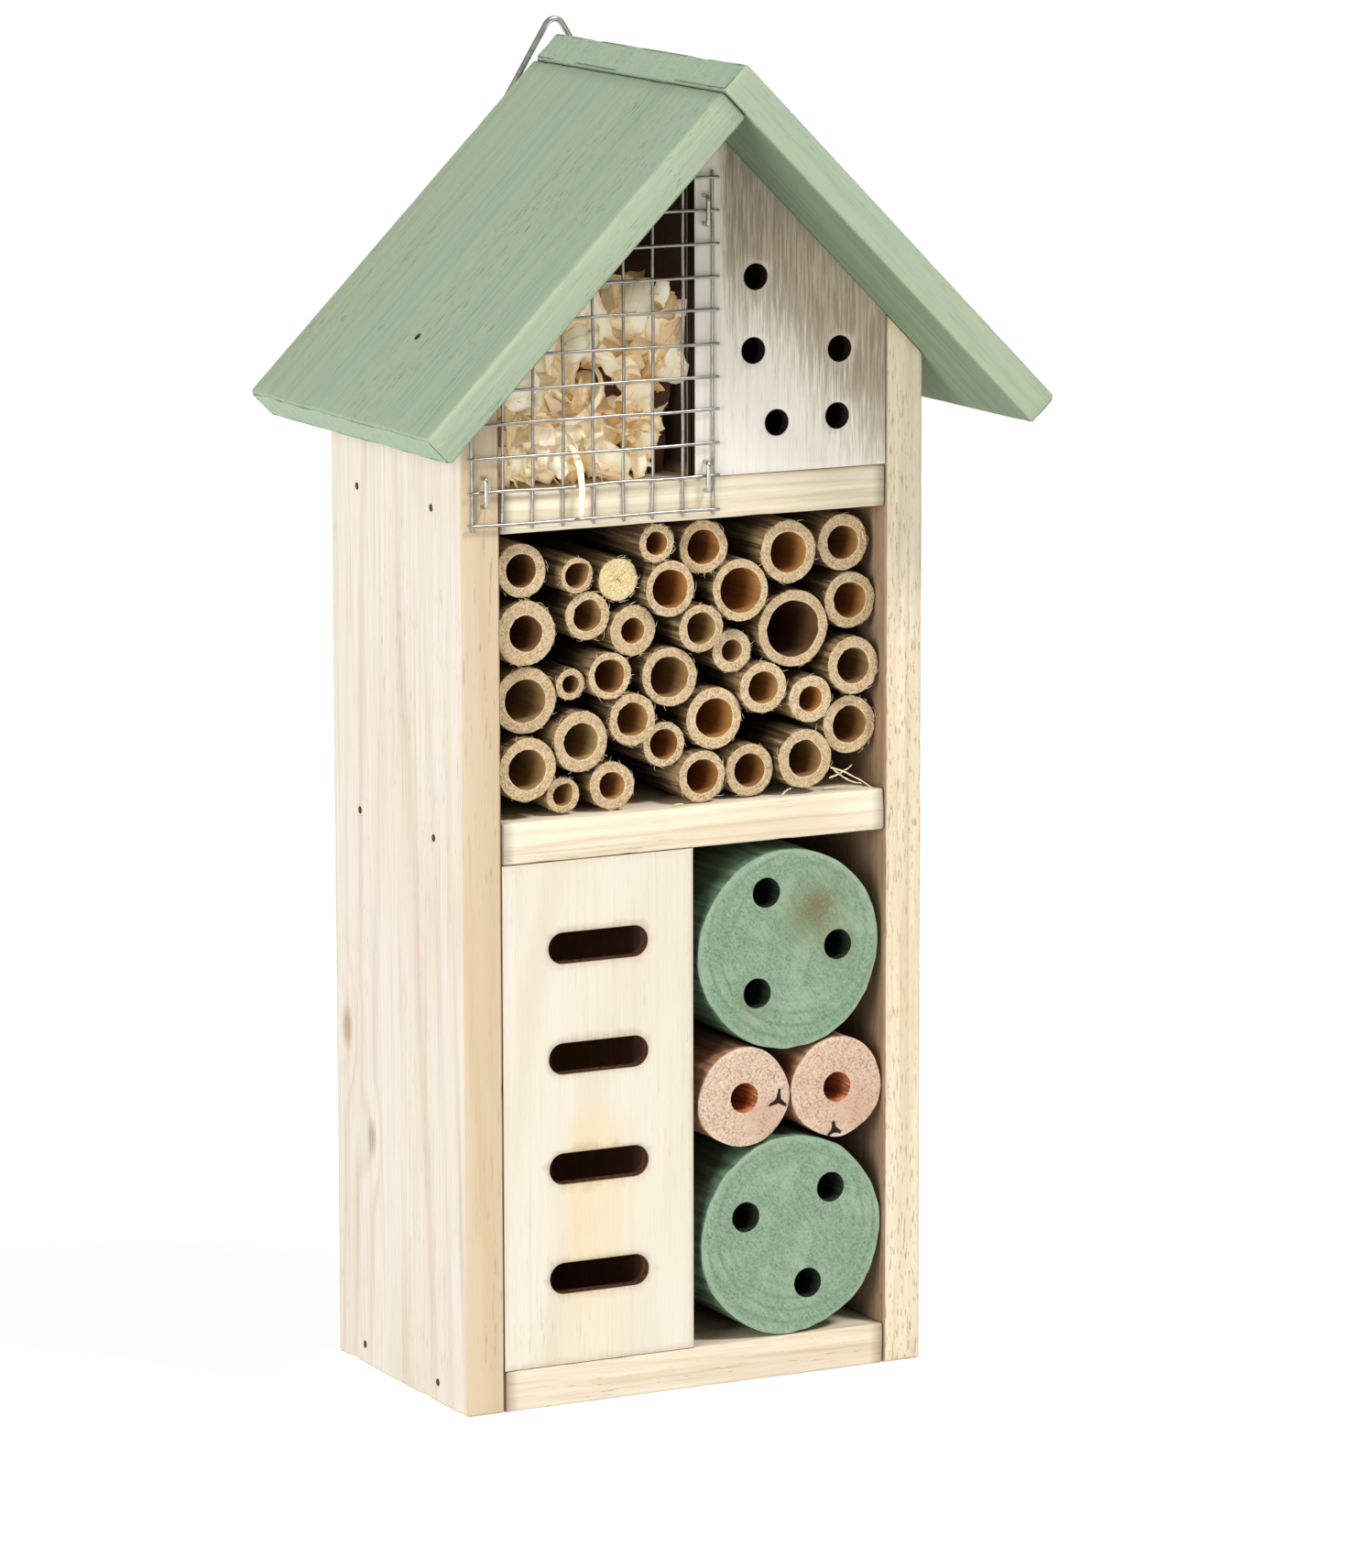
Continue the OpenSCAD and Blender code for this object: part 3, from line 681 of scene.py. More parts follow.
def sawnPanel(node, name, material, seed, shadeRule=None, slotName="plywood", rim=0.15 * mm):
    # front and back faces joined by walls round every loop, each wall easing into the faces over the rim
    low, high = nodeBox(node)
    loops = [subdivided(loop, spacing["panelEdge"]) for loop in frontLoops(node)]
    drawn = []
    for loop in loops:
        tangent = unit(np.roll(loop, -1, 0) - np.roll(loop, 1, 0))
        drawn.append(loop + np.stack([-tangent[:, 1], tangent[:, 0]], -1) * rim)
    flat, triangles = filledFace(drawn, spacing["panelFace"], seed)
    fromRim = nearest(flat, np.concatenate(drawn))
    holes = np.concatenate(drawn[1:]) if len(drawn) > 1 else drawn[0]
    burn = 0.6 * np.exp(-nearest(flat, holes) / (0.35 * mm))
    burn += 0.3 * np.exp(-nearest(flat, drawn[0]) / (0.4 * mm))

    def described(points, cut, scorch):
        blank = np.zeros(len(points))
        shade = shadeRule(points[:, [0, 2, 1]]) if shadeRule else blank
        return {"grain": points[:, [2, 0, 1]] + [0.003 * seed, 0, 0], "cut": cut + blank,
                "scorch": scorch + blank, "shade": shade, "wear": blank, "endGrain": blank,
                "sawn": blank, "inner": blank, "grime": blank}

    def sheet(y, relief):
        uneven = ripple(flat / mm, 14, seed) * relief * np.clip(fromRim / (3 * mm), 0, 1)
        return atDepth(flat, y + uneven)

    front, back = sheet(low[1] + 0.05 * mm, 0.04 * mm), sheet(high[1], 0)
    parts = [(front, triangles, described(front, 0, burn)),
             (back, triangles[:, ::-1], described(back, 0, burn))]
    for number, (loop, inner) in enumerate(zip(loops, drawn)):
        rows = [(inner, low[1] + 0.05 * mm), (loop, low[1] + rim), (loop, (low[1] + high[1]) / 2),
                (loop, high[1] - rim), (inner, high[1])]
        wall = np.concatenate([atDepth(ring, y) for ring, y in rows])
        cut = np.repeat([0.0, 1.0, 1.0, 1.0, 0.0], len(loop))
        parts.append((wall, gridFaces(len(rows), len(loop), False, True),
                      described(wall, cut, 0.6 if number else 0.3)))
    makePiece(name, *joined(parts), material, slotName, [node], sharp=40)


sawnPanel("slotted_panel", "slottedPanel", frontPly, 3, archShade)
sawnPanel("drilled_panel", "drilledPanel", gablePly, 4, roofShade)
sawnPanel("back_panel", "backPanel", innerPly, 5, innerDusk)


def makeDivider(node, name, seed, material):
    # an upright sheet; the upper one leans to the roof's slope at its top
    low, high = nodeBox(node)

    def place(p):
        x, y, z = low[0] + p[:, 2], low[1] + p[:, 1], low[2] + p[:, 0]
        top = np.minimum(high[2], apexZ - np.abs(x))
        return np.stack([x, y, low[2] + (z - low[2]) * (top - low[2]) / (high[2] - low[2])], -1)

    makeBoard(name, place, (high - low)[[2, 1, 0]], material, seed, [node], edge=0.2 * mm, slotName="plywood")


makeDivider("lower_divider", "lowerDivider", 5, innerPly)
makeDivider("upper_divider", "upperDivider", 6, duskPly)
print("panels made")


# bamboo tubes

# deep is painted shade for the tube sides far behind the face
caneLook = {
    "face": rgb(226, 202, 162), "faceLight": rgb(244, 228, 194), "faceDark": rgb(172, 138, 96),
    "side": rgb(170, 140, 96), "sideDark": rgb(84, 62, 38), "deep": rgb(14, 10, 6), "rim": rgb(244, 228, 190),
    "boreWarm": rgb(194, 134, 72), "boreOlive": rgb(182, 154, 102), "boreDark": rgb(86, 60, 44),
    "pith": rgb(246, 230, 186),
}


def caneMaterial(look):
    # zone is 0 on the side, 1 on the sawn face, 2 in the bore; tone holds (face shade, bore hue, bore shade)
    material, tree, shader = newMaterial("caneWood", Specular_IOR_Level=0.35)
    place = objectPlace(tree)
    zone = level(tree, "zone")
    faceShade, boreHue, boreShade = separated(tree, attribute(tree, "tone"))
    speck = drawnOut(tree, place, (3200, 90, 3200), 3.0, 0.7)
    coarse = drawnOut(tree, place, (900, 40, 900))
    face = mixed(tree, between(tree, speck, 0.36, 0.58), look["faceDark"], look["face"])
    face = tinted(tree, face, between(tree, speck, 0.56, 0.72), 0.6, look["faceLight"])
    face = tinted(tree, face, between(tree, coarse, 0.45, 0.75), 0.35, look["faceLight"])
    face = tinted(tree, face, faceShade, 0.4, look["faceDark"])
    side = mixed(tree, between(tree, coarse, 0.38, 0.66), look["sideDark"], look["side"])
    side = tinted(tree, side, between(tree, speck, 0.55, 0.8), 0.6, look["faceLight"])
    # painted shade: the side turns near-black further behind the sawn face, in the gaps between tubes
    side = mixed(tree, level(tree, "deep"), side, look["deep"])
    bore = mixed(tree, boreHue, look["boreWarm"], look["boreOlive"])
    bore = mixed(tree, boreShade, bore, look["boreDark"])
    streaks = drawnOut(tree, place, (700, 25, 700), 2.0, 0.5)
    bore = tinted(tree, bore, between(tree, streaks, 0.4, 0.8), 0.35, look["boreDark"])
    lip = between(tree, level(tree, "lip"), 0.72, 1.0)
    face = tinted(tree, face, lip, 0.7, look["rim"])
    face = mixed(tree, level(tree, "pith"), face,
                 mixed(tree, between(tree, speck, 0.4, 0.6), rgb(216, 186, 122), look["pith"]))
    colour = mixed(tree, between(tree, zone, 0.35, 0.65), side, face)
    colour = mixed(tree, between(tree, zone, 1.3, 1.6), colour, bore)
    fed(tree, shader, "Base Color", colour)
    fed(tree, shader, "Roughness", ranged(tree, zone, 0.75, 0.42, 1, 2))
    bumped(tree, shader, plus(tree, speck, coarse), 0.16 * mm)
    return material


caneWood = caneMaterial(caneLook)

# what sets single tubes apart: how oval, how far and which way the bore is split, how many loose fibres,
# and the bore's hue and shade
caneCharacter = {1: {"split": 0.55, "splitTurn": 0.9}, 5: {"fray": 4}, 7: {"fray": 5}, 11: {"fray": 6},
                 13: {"fray": 7}, 14: {"hue": 0.9, "shade": 0.15},
                 16: {"hue": 0.7, "shade": 0.25, "oval": 0.05}, 6: {"hue": 0.8, "shade": 0.2},
                 9: {"hue": 0.9, "shade": 0.1, "oval": 0.04}, 10: {"hue": 0.1, "shade": 0.1},
                 12: {"hue": 0.0, "shade": 0.2}, 17: {"shade": 0.5},
                 18: {"fray": 10, "split": 0.12, "splitTurn": 2.2}, 19: {"shade": 0.1, "fray": 4},
                 20: {"hue": 0.5, "shade": 0.85}, 21: {"hue": 0.8, "shade": 0.1},
                 22: {"hue": 0.1, "shade": 0.2}, 23: {"shade": 0.6, "fray": 12},
                 24: {"hue": 0.1, "shade": 0.15}, 25: {"split": 0.2, "splitTurn": 1.2, "fray": 6},
                 26: {"hue": 0.2, "shade": 0.05, "oval": 0.03},
                 27: {"hue": 0.0, "shade": 0.1, "oval": 0.06}, 28: {"fray": 6},
                 29: {"split": 0.6, "splitTurn": 0.6, "fray": 6},
                 30: {"hue": 0.2, "shade": 0.1, "fray": 4}, 31: {"hue": 0.3, "shade": 0.3},
                 32: {"hue": 0.1, "shade": 0.2, "fray": 10}, 33: {"shade": 0.6, "oval": 0.07},
                 34: {"fray": 22, "shade": 0.2}}


def caneTube(node, number):
    # the section is (distance from the axis, depth from the front) along a closed line: up the outside,
    # round the front rim, across the sawn face, and back down the bore
    low, high = nodeBox(node)
    raw = nodePoints(node)
    middle = (low + high) / 2
    fromAxis = np.hypot(raw[:, 0] - middle[0], raw[:, 2] - middle[2])
    radius, bore = (high[0] - low[0]) / 2, fromAxis.min()
    solid = bore > radius * 0.98
    if solid:
        bore = 0.02 * radius
    length = high[1] - low[1]
    own = caneCharacter.get(number, {})
    rng = np.random.default_rng(500 + number)
    sides, angle = 72, np.arange(72) * turn / 72
    around = circle(sides)
    oval = own.get("oval", rng.uniform(0.005, 0.03))
    squash = 1 - oval * (1 + np.cos(2 * (angle - rng.uniform(0, turn)))) / 2
    outerWobble = squash * (1 - 0.022 * np.clip(1 + ripple(around, 1.5, 700 + number), 0, 3) * 0.5)
    boreWobble = 1 + 0.022 * ripple(around, 1.9, 800 + number) + 0.006 * ripple(around, 0.5, 850 + number)
    if "split" in own:              # the bore is drawn out to a corner on one side
        off = np.angle(np.exp(1j * (angle - own["splitTurn"])))
        boreWobble = boreWobble * (1 - 0.22 * own["split"] + own["split"] * 0.5 * np.exp(-(off / 0.45) ** 2))
        outerWobble = outerWobble * (1 - 0.10 * own["split"] * np.sin(off / 2) ** 2)
    faceStops = np.linspace(0, 1, 9)
    outer = [(0.0, d) for d in (length, length * 0.6, length * 0.3, *np.linspace(12, 1.2, 9) * mm)]
    outer += [(0.015, 0.5 * mm), (0.05, 0.12 * mm)]
    face = [(0.05 + 0.9 * s, 0.0) for s in faceStops[1:-1]]
    inner = [(0.97, 0.1 * mm)]
    inner += [(1.0, d) for d in (0.5 * mm, 1.5 * mm, 4 * mm, 10 * mm, length * 0.5, length)]
    section = np.array(outer + face + inner)
    zone = np.array([0.0] * (len(outer) - 1) + [0.6] + [1.0] * len(face) + [1.5] + [2.0] * (len(inner) - 1))
    share, depth = section[:, :1], section[:, 1:]
    outerR = radius * outerWobble[None, :]
    boreR = bore * (np.ones((1, sides)) if solid else boreWobble[None, :])
    r = outerR * (1 - share) + boreR * share
    fuzz = ripple(np.stack([np.broadcast_to(angle * 6, r.shape), r / (0.35 * mm)], -1), 1.6, 900 + number, 14)
    atFace = np.clip(1 - depth / (0.8 * mm), 0, 1)
    y = low[1] + depth + atFace * (0.12 + 0.10 * fuzz) * mm
    tilt = rng.uniform(-0.035, 0.035, 2)
    y += atFace * ((tilt[0] * np.cos(angle) + tilt[1] * np.sin(angle)) * r + np.abs(tilt).sum() * radius)
    barkLines = 0.012 * ripple(np.stack([np.broadcast_to(angle * radius / mm, r.shape),
                                         np.broadcast_to(depth / (30 * mm), r.shape)], -1), 0.9, 950 + number)
    r = r * (1 - np.where(share < 0.04, np.abs(barkLines), 0))
    points = np.stack([middle[0] + r * np.cos(angle), y, middle[2] + r * np.sin(angle)], -1)
    rows = len(section)
    tone = np.array([rng.uniform(0, 0.6), own.get("hue", rng.uniform(0, 0.7)),
                     own.get("shade", rng.uniform(0, 0.4))])
    spread = np.broadcast_to(zone[:, None], r.shape).ravel()
    lip = np.broadcast_to(np.clip((share - 0.55) / 0.4, 0, 1), r.shape).ravel() * (0.0 if solid else 1.0)
    # deep grows behind the face; the material paints it as shade
    deep = np.broadcast_to(np.clip(depth / (27 * mm), 0, 1) ** 0.8, r.shape).ravel()
    attributes = {"zone": spread if not solid else np.minimum(spread, 1.0),
                  "tone": np.tile(tone, (rows * sides, 1)), "lip": lip,
                  "pith": (spread > 0.5) * float(solid), "deep": deep}
    parts = [(points.reshape(-1, 3), gridFaces(rows, sides, not solid, True), attributes)]
    for hair in range(9 + 2 * own.get("fray", 1)):
        parts.append(fibreStrand(middle, radius, low[1], rng, tone))
    makePiece("bambooTube%02d" % number, *joined(parts), caneWood, "bamboo", [node], sharp=50)


def fibreStrand(middle, radius, faceY, rng, tone):
    # a torn fibre: a thin three-sided strand that leaves the rim and curls away from it
    start = rng.uniform(0, turn)
    along = np.linspace(0, 1, 7)
    lengthOut = rng.choice([0.6, 0.8, 1.1, 1.9]) * rng.uniform(0.7, 1.2) * mm
    lean, twist = rng.uniform(-1.2, 1.2), rng.uniform(-1, 1)
    angle = start + along * lean * 0.25 + along ** 2 * twist * 0.15
    out = radius * 0.97 + lengthOut * (along - 0.45 * along ** 2 * abs(twist)) * rng.uniform(0.1, 0.7)
    y = faceY + 0.4 * mm - along * lengthOut * rng.uniform(-0.3, 0.35)
    path = np.stack([middle[0] + out * np.cos(angle), np.maximum(y, frontY + 0.2 * mm),
                     middle[2] + out * np.sin(angle)], -1)
    points, faces = sweep(path, (0.055 * (1 - 0.75 * along)) * mm, np.array([0.3, 0.9, 0.3]), 3)
    return points, faces, strandValues(len(points), tone * [0, 1, 1], 0.9)


def strandValues(count, tone, lip):
    # a torn strand has the sawn face's finish, as pale as lip says
    blank = np.zeros(count)
    return {"zone": blank + 1, "tone": np.tile(tone, (count, 1)), "lip": blank + lip, "pith": blank,
            "deep": blank}


caneNodes = sorted(name for name in frame["nodes"] if name.startswith("bamboo_tube_"))
for number, node in enumerate(caneNodes, 1):
    caneTube(node, number)
print("bamboo tubes made:", len(caneNodes))


def looseStraws():
    # split straws that lie where the pile meets the shelf: [where each starts, where it ends] and its bow
    shelfTop = nodeBox("lower_shelf")[1][2] / mm
    front = frontY / mm
    straws = [((30.4, front + 2.2, shelfTop + 4.6), (37.8, front - 0.4, shelfTop + 0.5), 0.5),
              ((30.2, front + 2.4, shelfTop + 2.6), (34.6, front + 1.4, shelfTop + 4.9), -0.3),
              ((31.6, front + 3.0, shelfTop + 3.9), (36.4, front + 1.2, shelfTop + 1.2), -0.6),
              ((29.6, front + 3.2, shelfTop + 0.5), (36.9, front + 2.2, shelfTop + 0.35), 0.2),
              ((19.6, front + 1.8, shelfTop + 0.3), (21.2, front + 1.2, shelfTop + 1.5), 0.2),
              ((-3.6, front + 1.6, shelfTop + 0.3), (-2.0, front + 1.2, shelfTop + 0.4), 0.1)]
    parts = []
    for number, (start, end, bow) in enumerate(straws):
        share = np.linspace(0, 1, 14)[:, None]
        path = (np.array(start) * (1 - share) + np.array(end) * share) * mm
        path[:, 2] += bow * mm * np.sin(share[:, 0] * turn / 2)
        path[:, 0] += 0.12 * mm * ripple(share * 6, 2.5, 40 + number)
        width = (0.2 - 0.1 * share[:, 0]) * (1 + 0.2 * ripple(share * 6, 1.2, 60 + number)) * mm
        points, faces = sweep(path, width, np.array([0.2, 1.0, 0.1]), 6)
        parts.append((points, faces, strandValues(len(points), np.zeros(3), 1.0)))
    makePiece("looseStraws", *joined(parts), caneWood, "bamboo", sharp=60)


looseStraws()


# log sections

def logMaterial(name, look):
    # grain holds (depth, across, up) from the log's middle, and zone is 0 bark, 1 sawn face, 2 hole
    material, tree, shader = newMaterial(name, Specular_IOR_Level=0.25, Roughness=0.78)
    grain = attribute(tree, "grain")
    zone = level(tree, "zone")
    speck = drawnOut(tree, grain, (120, 2100, 2100), 4.0, 0.7)
    coarse = drawnOut(tree, grain, (40, 160, 160))
    turned = put(tree, "Mapping", {"Vector": grain, "Rotation": (look["sawTurn"], 0, 0)})
    saw = drawnOut(tree, turned, (60, 330, 1700))
    flat = put(tree, "VectorMath", {0: grain, 1: (0, 1, 1)}, operation="MULTIPLY")
    radius = distance(tree, flat, look["heart"])
    rings = calc(tree, "SINE", plus(tree, times(tree, radius, turn / look["ringGap"]),
                                    times(tree, coarse, 1.6)))
    rings = times(tree, between(tree, rings, 0.3, 1.0), between(tree, radius, *look["ringFrom"]))
    rings = times(tree, rings, between(tree, coarse, 0.35, 0.6))
    face = mixed(tree, between(tree, speck, 0.3, 0.6), look["dark"], look["pale"])
    face = tinted(tree, face, between(tree, coarse, 0.42, 0.7), look["patch"], look["light"])
    face = tinted(tree, face, between(tree, saw, 0.52, 0.74), look["sawDepth"], look["sawDark"])
    face = tinted(tree, face, between(tree, saw, 0.46, 0.3), look["sawDepth"], look["light"])
    face = tinted(tree, face, rings, look["ringDepth"], look["sawDark"])
    rim = between(tree, level(tree, "rim"), 0.1, 0.9)
    face = tinted(tree, face, rim, look["rimDepth"], look["light"])
    for place, size, colour in look["stains"]:
        away = distance(tree, flat, (0, *place))
        away = plus(tree, away, times(tree, minus(tree, speck, 0.5), -size * 3.6))
        cover = put(tree, "MapRange", {"Value": away, "From Min": 0, "From Max": size, "To Min": 0.7,
                                       "To Max": 0}, interpolation_type="SMOOTHSTEP")
        face = mixed(tree, cover, face, colour)
    for place, size, phase in look.get("cracks", ()):
        # a crack is a star: the distance from its arms, which narrow as they leave the middle
        spot = put(tree, "VectorMath", {0: flat, 1: (0, *place)}, operation="SUBTRACT")
        away = distance(tree, flat, (0, *place))
        _, aside, upward = separated(tree, spot)
        heading = calc(tree, "ARCTAN2", upward, aside)
        swing = plus(tree, times(tree, heading, 1.5), plus(tree, phase, speck))
        arm = times(tree, calc(tree, "ABSOLUTE", calc(tree, "SINE", swing)), away)
        arm = plus(tree, arm, times(tree, away, 0.16))
        cover = times(tree, between(tree, arm, 0.95 * mm, 0.65 * mm), between(tree, away, size, size * 0.8))
        face = mixed(tree, cover, face, look["crack"])
    bark = mixed(tree, between(tree, drawnOut(tree, grain, (50, 600, 600), 4.0), 0.35, 0.7),
                 look["barkDark"], look["bark"])
    # hole colours: painted shade on the green logs, the reddish wood itself on the branches
    hole = mixed(tree, between(tree, speck, 0.3, 0.7), look["holeDark"], look["hole"])
    colour = mixed(tree, between(tree, zone, 0.3, 0.8), bark, face)
    colour = mixed(tree, between(tree, zone, 1.2, 1.7), colour, hole)
    fed(tree, shader, "Base Color", colour)
    bumped(tree, shader, plus(tree, speck, times(tree, saw, 0.6)), 0.2 * mm)
    return material


# hole and holeDark here are painted shade: the green logs' hole walls are drawn near-black
greenLogLook = {"pale": rgb(144, 168, 141), "dark": rgb(100, 131, 102), "light": rgb(176, 194, 166),
                "sawDark": rgb(86, 116, 90), "bark": rgb(110, 142, 116), "barkDark": rgb(70, 96, 72),
                "hole": rgb(44, 60, 44), "holeDark": rgb(18, 26, 18), "heart": (0, 0.001, 0.002),
                "ringGap": 2.4 * mm, "ringFrom": (10 * mm, 17 * mm), "ringDepth": 0.4, "patch": 0.4,
                "sawDepth": 0.35, "sawTurn": 0.9, "rimDepth": 0.4, "stains": []}
upperLogLook = dict(greenLogLook, heart=(0, 0.002, 0.002),
                    stains=[((0.0055, 0.007), 9 * mm, rgb(132, 130, 90)),
                            ((0.006, 0.008), 5 * mm, rgb(116, 106, 66)),
                            ((0.0105, 0.0), 5 * mm, rgb(140, 132, 88)),
                            ((-0.0075, -0.0095), 4.5 * mm, rgb(136, 134, 92))])
branchLook = {"pale": rgb(230, 204, 178), "dark": rgb(160, 124, 98), "light": rgb(240, 220, 196),
              "sawDark": rgb(184, 144, 118), "bark": rgb(196, 150, 116), "barkDark": rgb(140, 96, 68),
              "hole": rgb(240, 156, 96), "holeDark": rgb(116, 62, 34), "heart": (0, 0.0005, 0),
              "ringGap": 1.7 * mm, "ringFrom": (4 * mm, 8 * mm), "ringDepth": 0.2, "patch": 0.35,
              "sawDepth": 0.25, "sawTurn": -0.8, "rimDepth": 0.25,
              "stains": [((0.004, -0.004), 6 * mm, rgb(206, 164, 140))],
              "cracks": [((0.0074, -0.0012), 2.6 * mm, 0.4)], "crack": rgb(34, 20, 14)}
rightBranchLook = dict(branchLook, pale=rgb(226, 196, 170), cracks=[((-0.0006, -0.0084), 1.9 * mm, 0.1)])


def holePlaces(node):
    # the centres and radii of the blind holes, from the box of each opening that the record states
    low, high = nodeBox(node)
    found = []
    for opening in frame["record"]["physics"]["openings"]:
        a, b = np.array(opening["box_m"])
        centre = (a + b) / 2
        inside = low[0] < centre[0] < high[0] and low[2] < centre[2] < high[2]
        if inside and "hole" in opening["name"] and low[1] - 2 * mm < a[1] < low[1]:
            found.append((centre[[0, 2]], (b[0] - a[0] + 0.06 * mm) / math.sqrt(2)))
    return found


def logSection(node, name, material, slotName, seed, barkDepth):
    # a sawn face with its holes cut out, a surface round the side, and a blind tube behind each hole
    low, high = nodeBox(node)
    middle, radius = ((low + high) / 2)[[0, 2]], (high[0] - low[0]) / 2
    frontAt, backAt = low[1], high[1]
    count, holeSteps = 180, 48

    def onFace(flat):
        # the saw leaves the face a little uneven, with its edge rounded over
        share = np.linalg.norm(flat - middle, axis=1) / radius
        uneven = 0.12 + 0.08 * ripple(flat / mm, 5, seed + 2) + 0.03 * ripple(flat / mm, 0.8, seed + 3)
        return atDepth(flat, frontAt + uneven * mm + np.clip(share - 0.93, 0, 1) ** 2 * 120 * mm)

    def described(points, zone):
        away = np.linalg.norm(points[:, [0, 2]] - middle, axis=1) / radius
        return {"grain": np.stack([points[:, 1], points[:, 0] - middle[0], points[:, 2] - middle[1]], -1),
                "zone": zone + np.zeros(len(points)), "rim": np.clip((away - 0.9) / 0.08, 0, 1)}

    rounded = circle(count)
    wobble = 1 - barkDepth * (1 + ripple(rounded, 1.3, seed)) / 2
    wobble -= 0.006 * (1 + ripple(rounded, 0.25, seed + 1)) / 2
    edges = [middle + rounded * (wobble * radius * 0.985)[:, None]]
    for number, (centre, size) in enumerate(holePlaces(node)):
        small = circle(holeSteps)
        edgeReach = size * (1 + 0.006 * ripple(small, 1.2, seed + 10 + number))
        edges.append(centre + small[::-1] * edgeReach[:, None])
    flat, triangles = filledFace(edges, spacing["logFace"], seed)
    parts = [(onFace(flat), triangles, described(onFace(flat), 1.0))]

    depths = np.array([0.35, 1.0, 3, 6, 10, 15, 20, 28, 36, 44, 54]) / 54.0 * (backAt - frontAt)
    rings = [onFace(edges[0])]
    for step, depth in enumerate(depths):
        spots = np.concatenate([rounded * 3, np.full((count, 1), depth / (6 * mm))], 1)
        bark = 1 - 0.35 * barkDepth * (1 + ripple(spots, 2.5, seed + 4)) / 2 * (step > 1)
        reach = wobble * radius * bark * (0.995 if step == 0 else 1)
        rings.append(atDepth(middle + rounded * reach[:, None], frontAt + depth))
    centreBack = np.array([middle[0], backAt, middle[1]])
    rings += [rings[-1] * 0.5 + centreBack * 0.5, np.tile(centreBack, (count, 1))]
    side = np.concatenate(rings)
    sideZone = np.repeat([1.0, 0.7] + [0.0] * (len(rings) - 2), count)
    parts.append((side, gridFaces(len(rings), count, False, True), described(side, sideZone)))

    for (centre, _), edge in zip(holePlaces(node), edges[1:]):
        rows = [onFace(edge)]
        for depth, share in ((0.15, 0.985), (0.6, 0.97), (3, 0.97), (9, 0.97), (18, 0.97), (30, 0.97),
                             (31.5, 0)):
            rows.append(atDepth(centre + (edge - centre) * share, frontAt + depth * mm))
        tube = np.concatenate(rows)
        zone = np.repeat([1.0, 1.6] + [2.0] * (len(rows) - 2), len(edge))
        parts.append((tube, gridFaces(len(rows), len(edge), False, True), described(tube, zone)))
    makePiece(name, *joined(parts), material, slotName, [node], sharp=60)


greenLog = logMaterial("greenLog", greenLogLook)
upperGreenLog = logMaterial("upperGreenLog", upperLogLook)
leftBranch = logMaterial("leftBranch", branchLook)
rightBranch = logMaterial("rightBranch", rightBranchLook)
logSection("green_log_lower", "greenLogLower", greenLog, "green_log", 61, 0.02)
logSection("green_log_upper", "greenLogUpper", upperGreenLog, "green_log", 67, 0.02)
logSection("branch_log_left", "branchLogLeft", leftBranch, "branch_wood", 71, 0.035)
logSection("branch_log_right", "branchLogRight", rightBranch, "branch_wood", 79, 0.035)
print("logs made")


# wood shavings

# glow, lit and unlit set a painted glow; core is painted shade for the heap's depths
shavingLook = {"pale": rgb(255, 238, 198), "light": rgb(255, 250, 232), "warm": rgb(240, 202, 134),
               "deep": rgb(192, 144, 82), "core": rgb(70, 38, 20), "glow": 0.17,
               "lit": rgb(255, 232, 190), "unlit": rgb(60, 34, 16)}


def shavingMaterial(look):
    material, tree, shader = newMaterial("woodShavings", Specular_IOR_Level=0.3, Roughness=0.5,
                                         Subsurface_Weight=0.1, Subsurface_Scale=1.5 * mm,
                                         Emission_Strength=look["glow"])
    grain = attribute(tree, "grain")
    tone = level(tree, "tone")
    fibre = drawnOut(tree, grain, (60, 1300, 1300))
    broad = drawnOut(tree, grain, (50, 130, 130), 2.0, 0.5)
    colour = mixed(tree, between(tree, tone, 0.0, 0.6), look["light"], look["pale"])
    colour = mixed(tree, between(tree, tone, 0.6, 1.0), colour, look["warm"])
    colour = tinted(tree, colour, between(tree, broad, 0.5, 0.75), 0.45, look["warm"])
    colour = tinted(tree, colour, between(tree, fibre, 0.5, 0.76), 0.5, look["deep"])
    edge = between(tree, level(tree, "edge"), 0.8, 1.0)
    colour = tinted(tree, colour, edge, 0.5, look["deep"])
    # painted shade: the bolster under the curls is dark brown, standing in for the heap's shaded depths
    colour = mixed(tree, between(tree, tone, 1.1, 1.5), colour, look["core"])
    fed(tree, shader, "Base Color", colour)
    # painted glow: the palest curls give off a little light, standing in for light that comes through thin
    # shavings
    glow = mixed(tree, between(tree, tone, 0.05, 0.6), look["lit"], look["unlit"])
    fed(tree, shader, "Emission Color", glow)
    bumped(tree, shader, fibre, 0.08 * mm)
    return material


heap = {"curls": 190, "shortest": 10 * mm, "longest": 34 * mm, "narrowest": 2.2 * mm, "widest": 7.6 * mm,
        "sheet": 0.16 * mm}


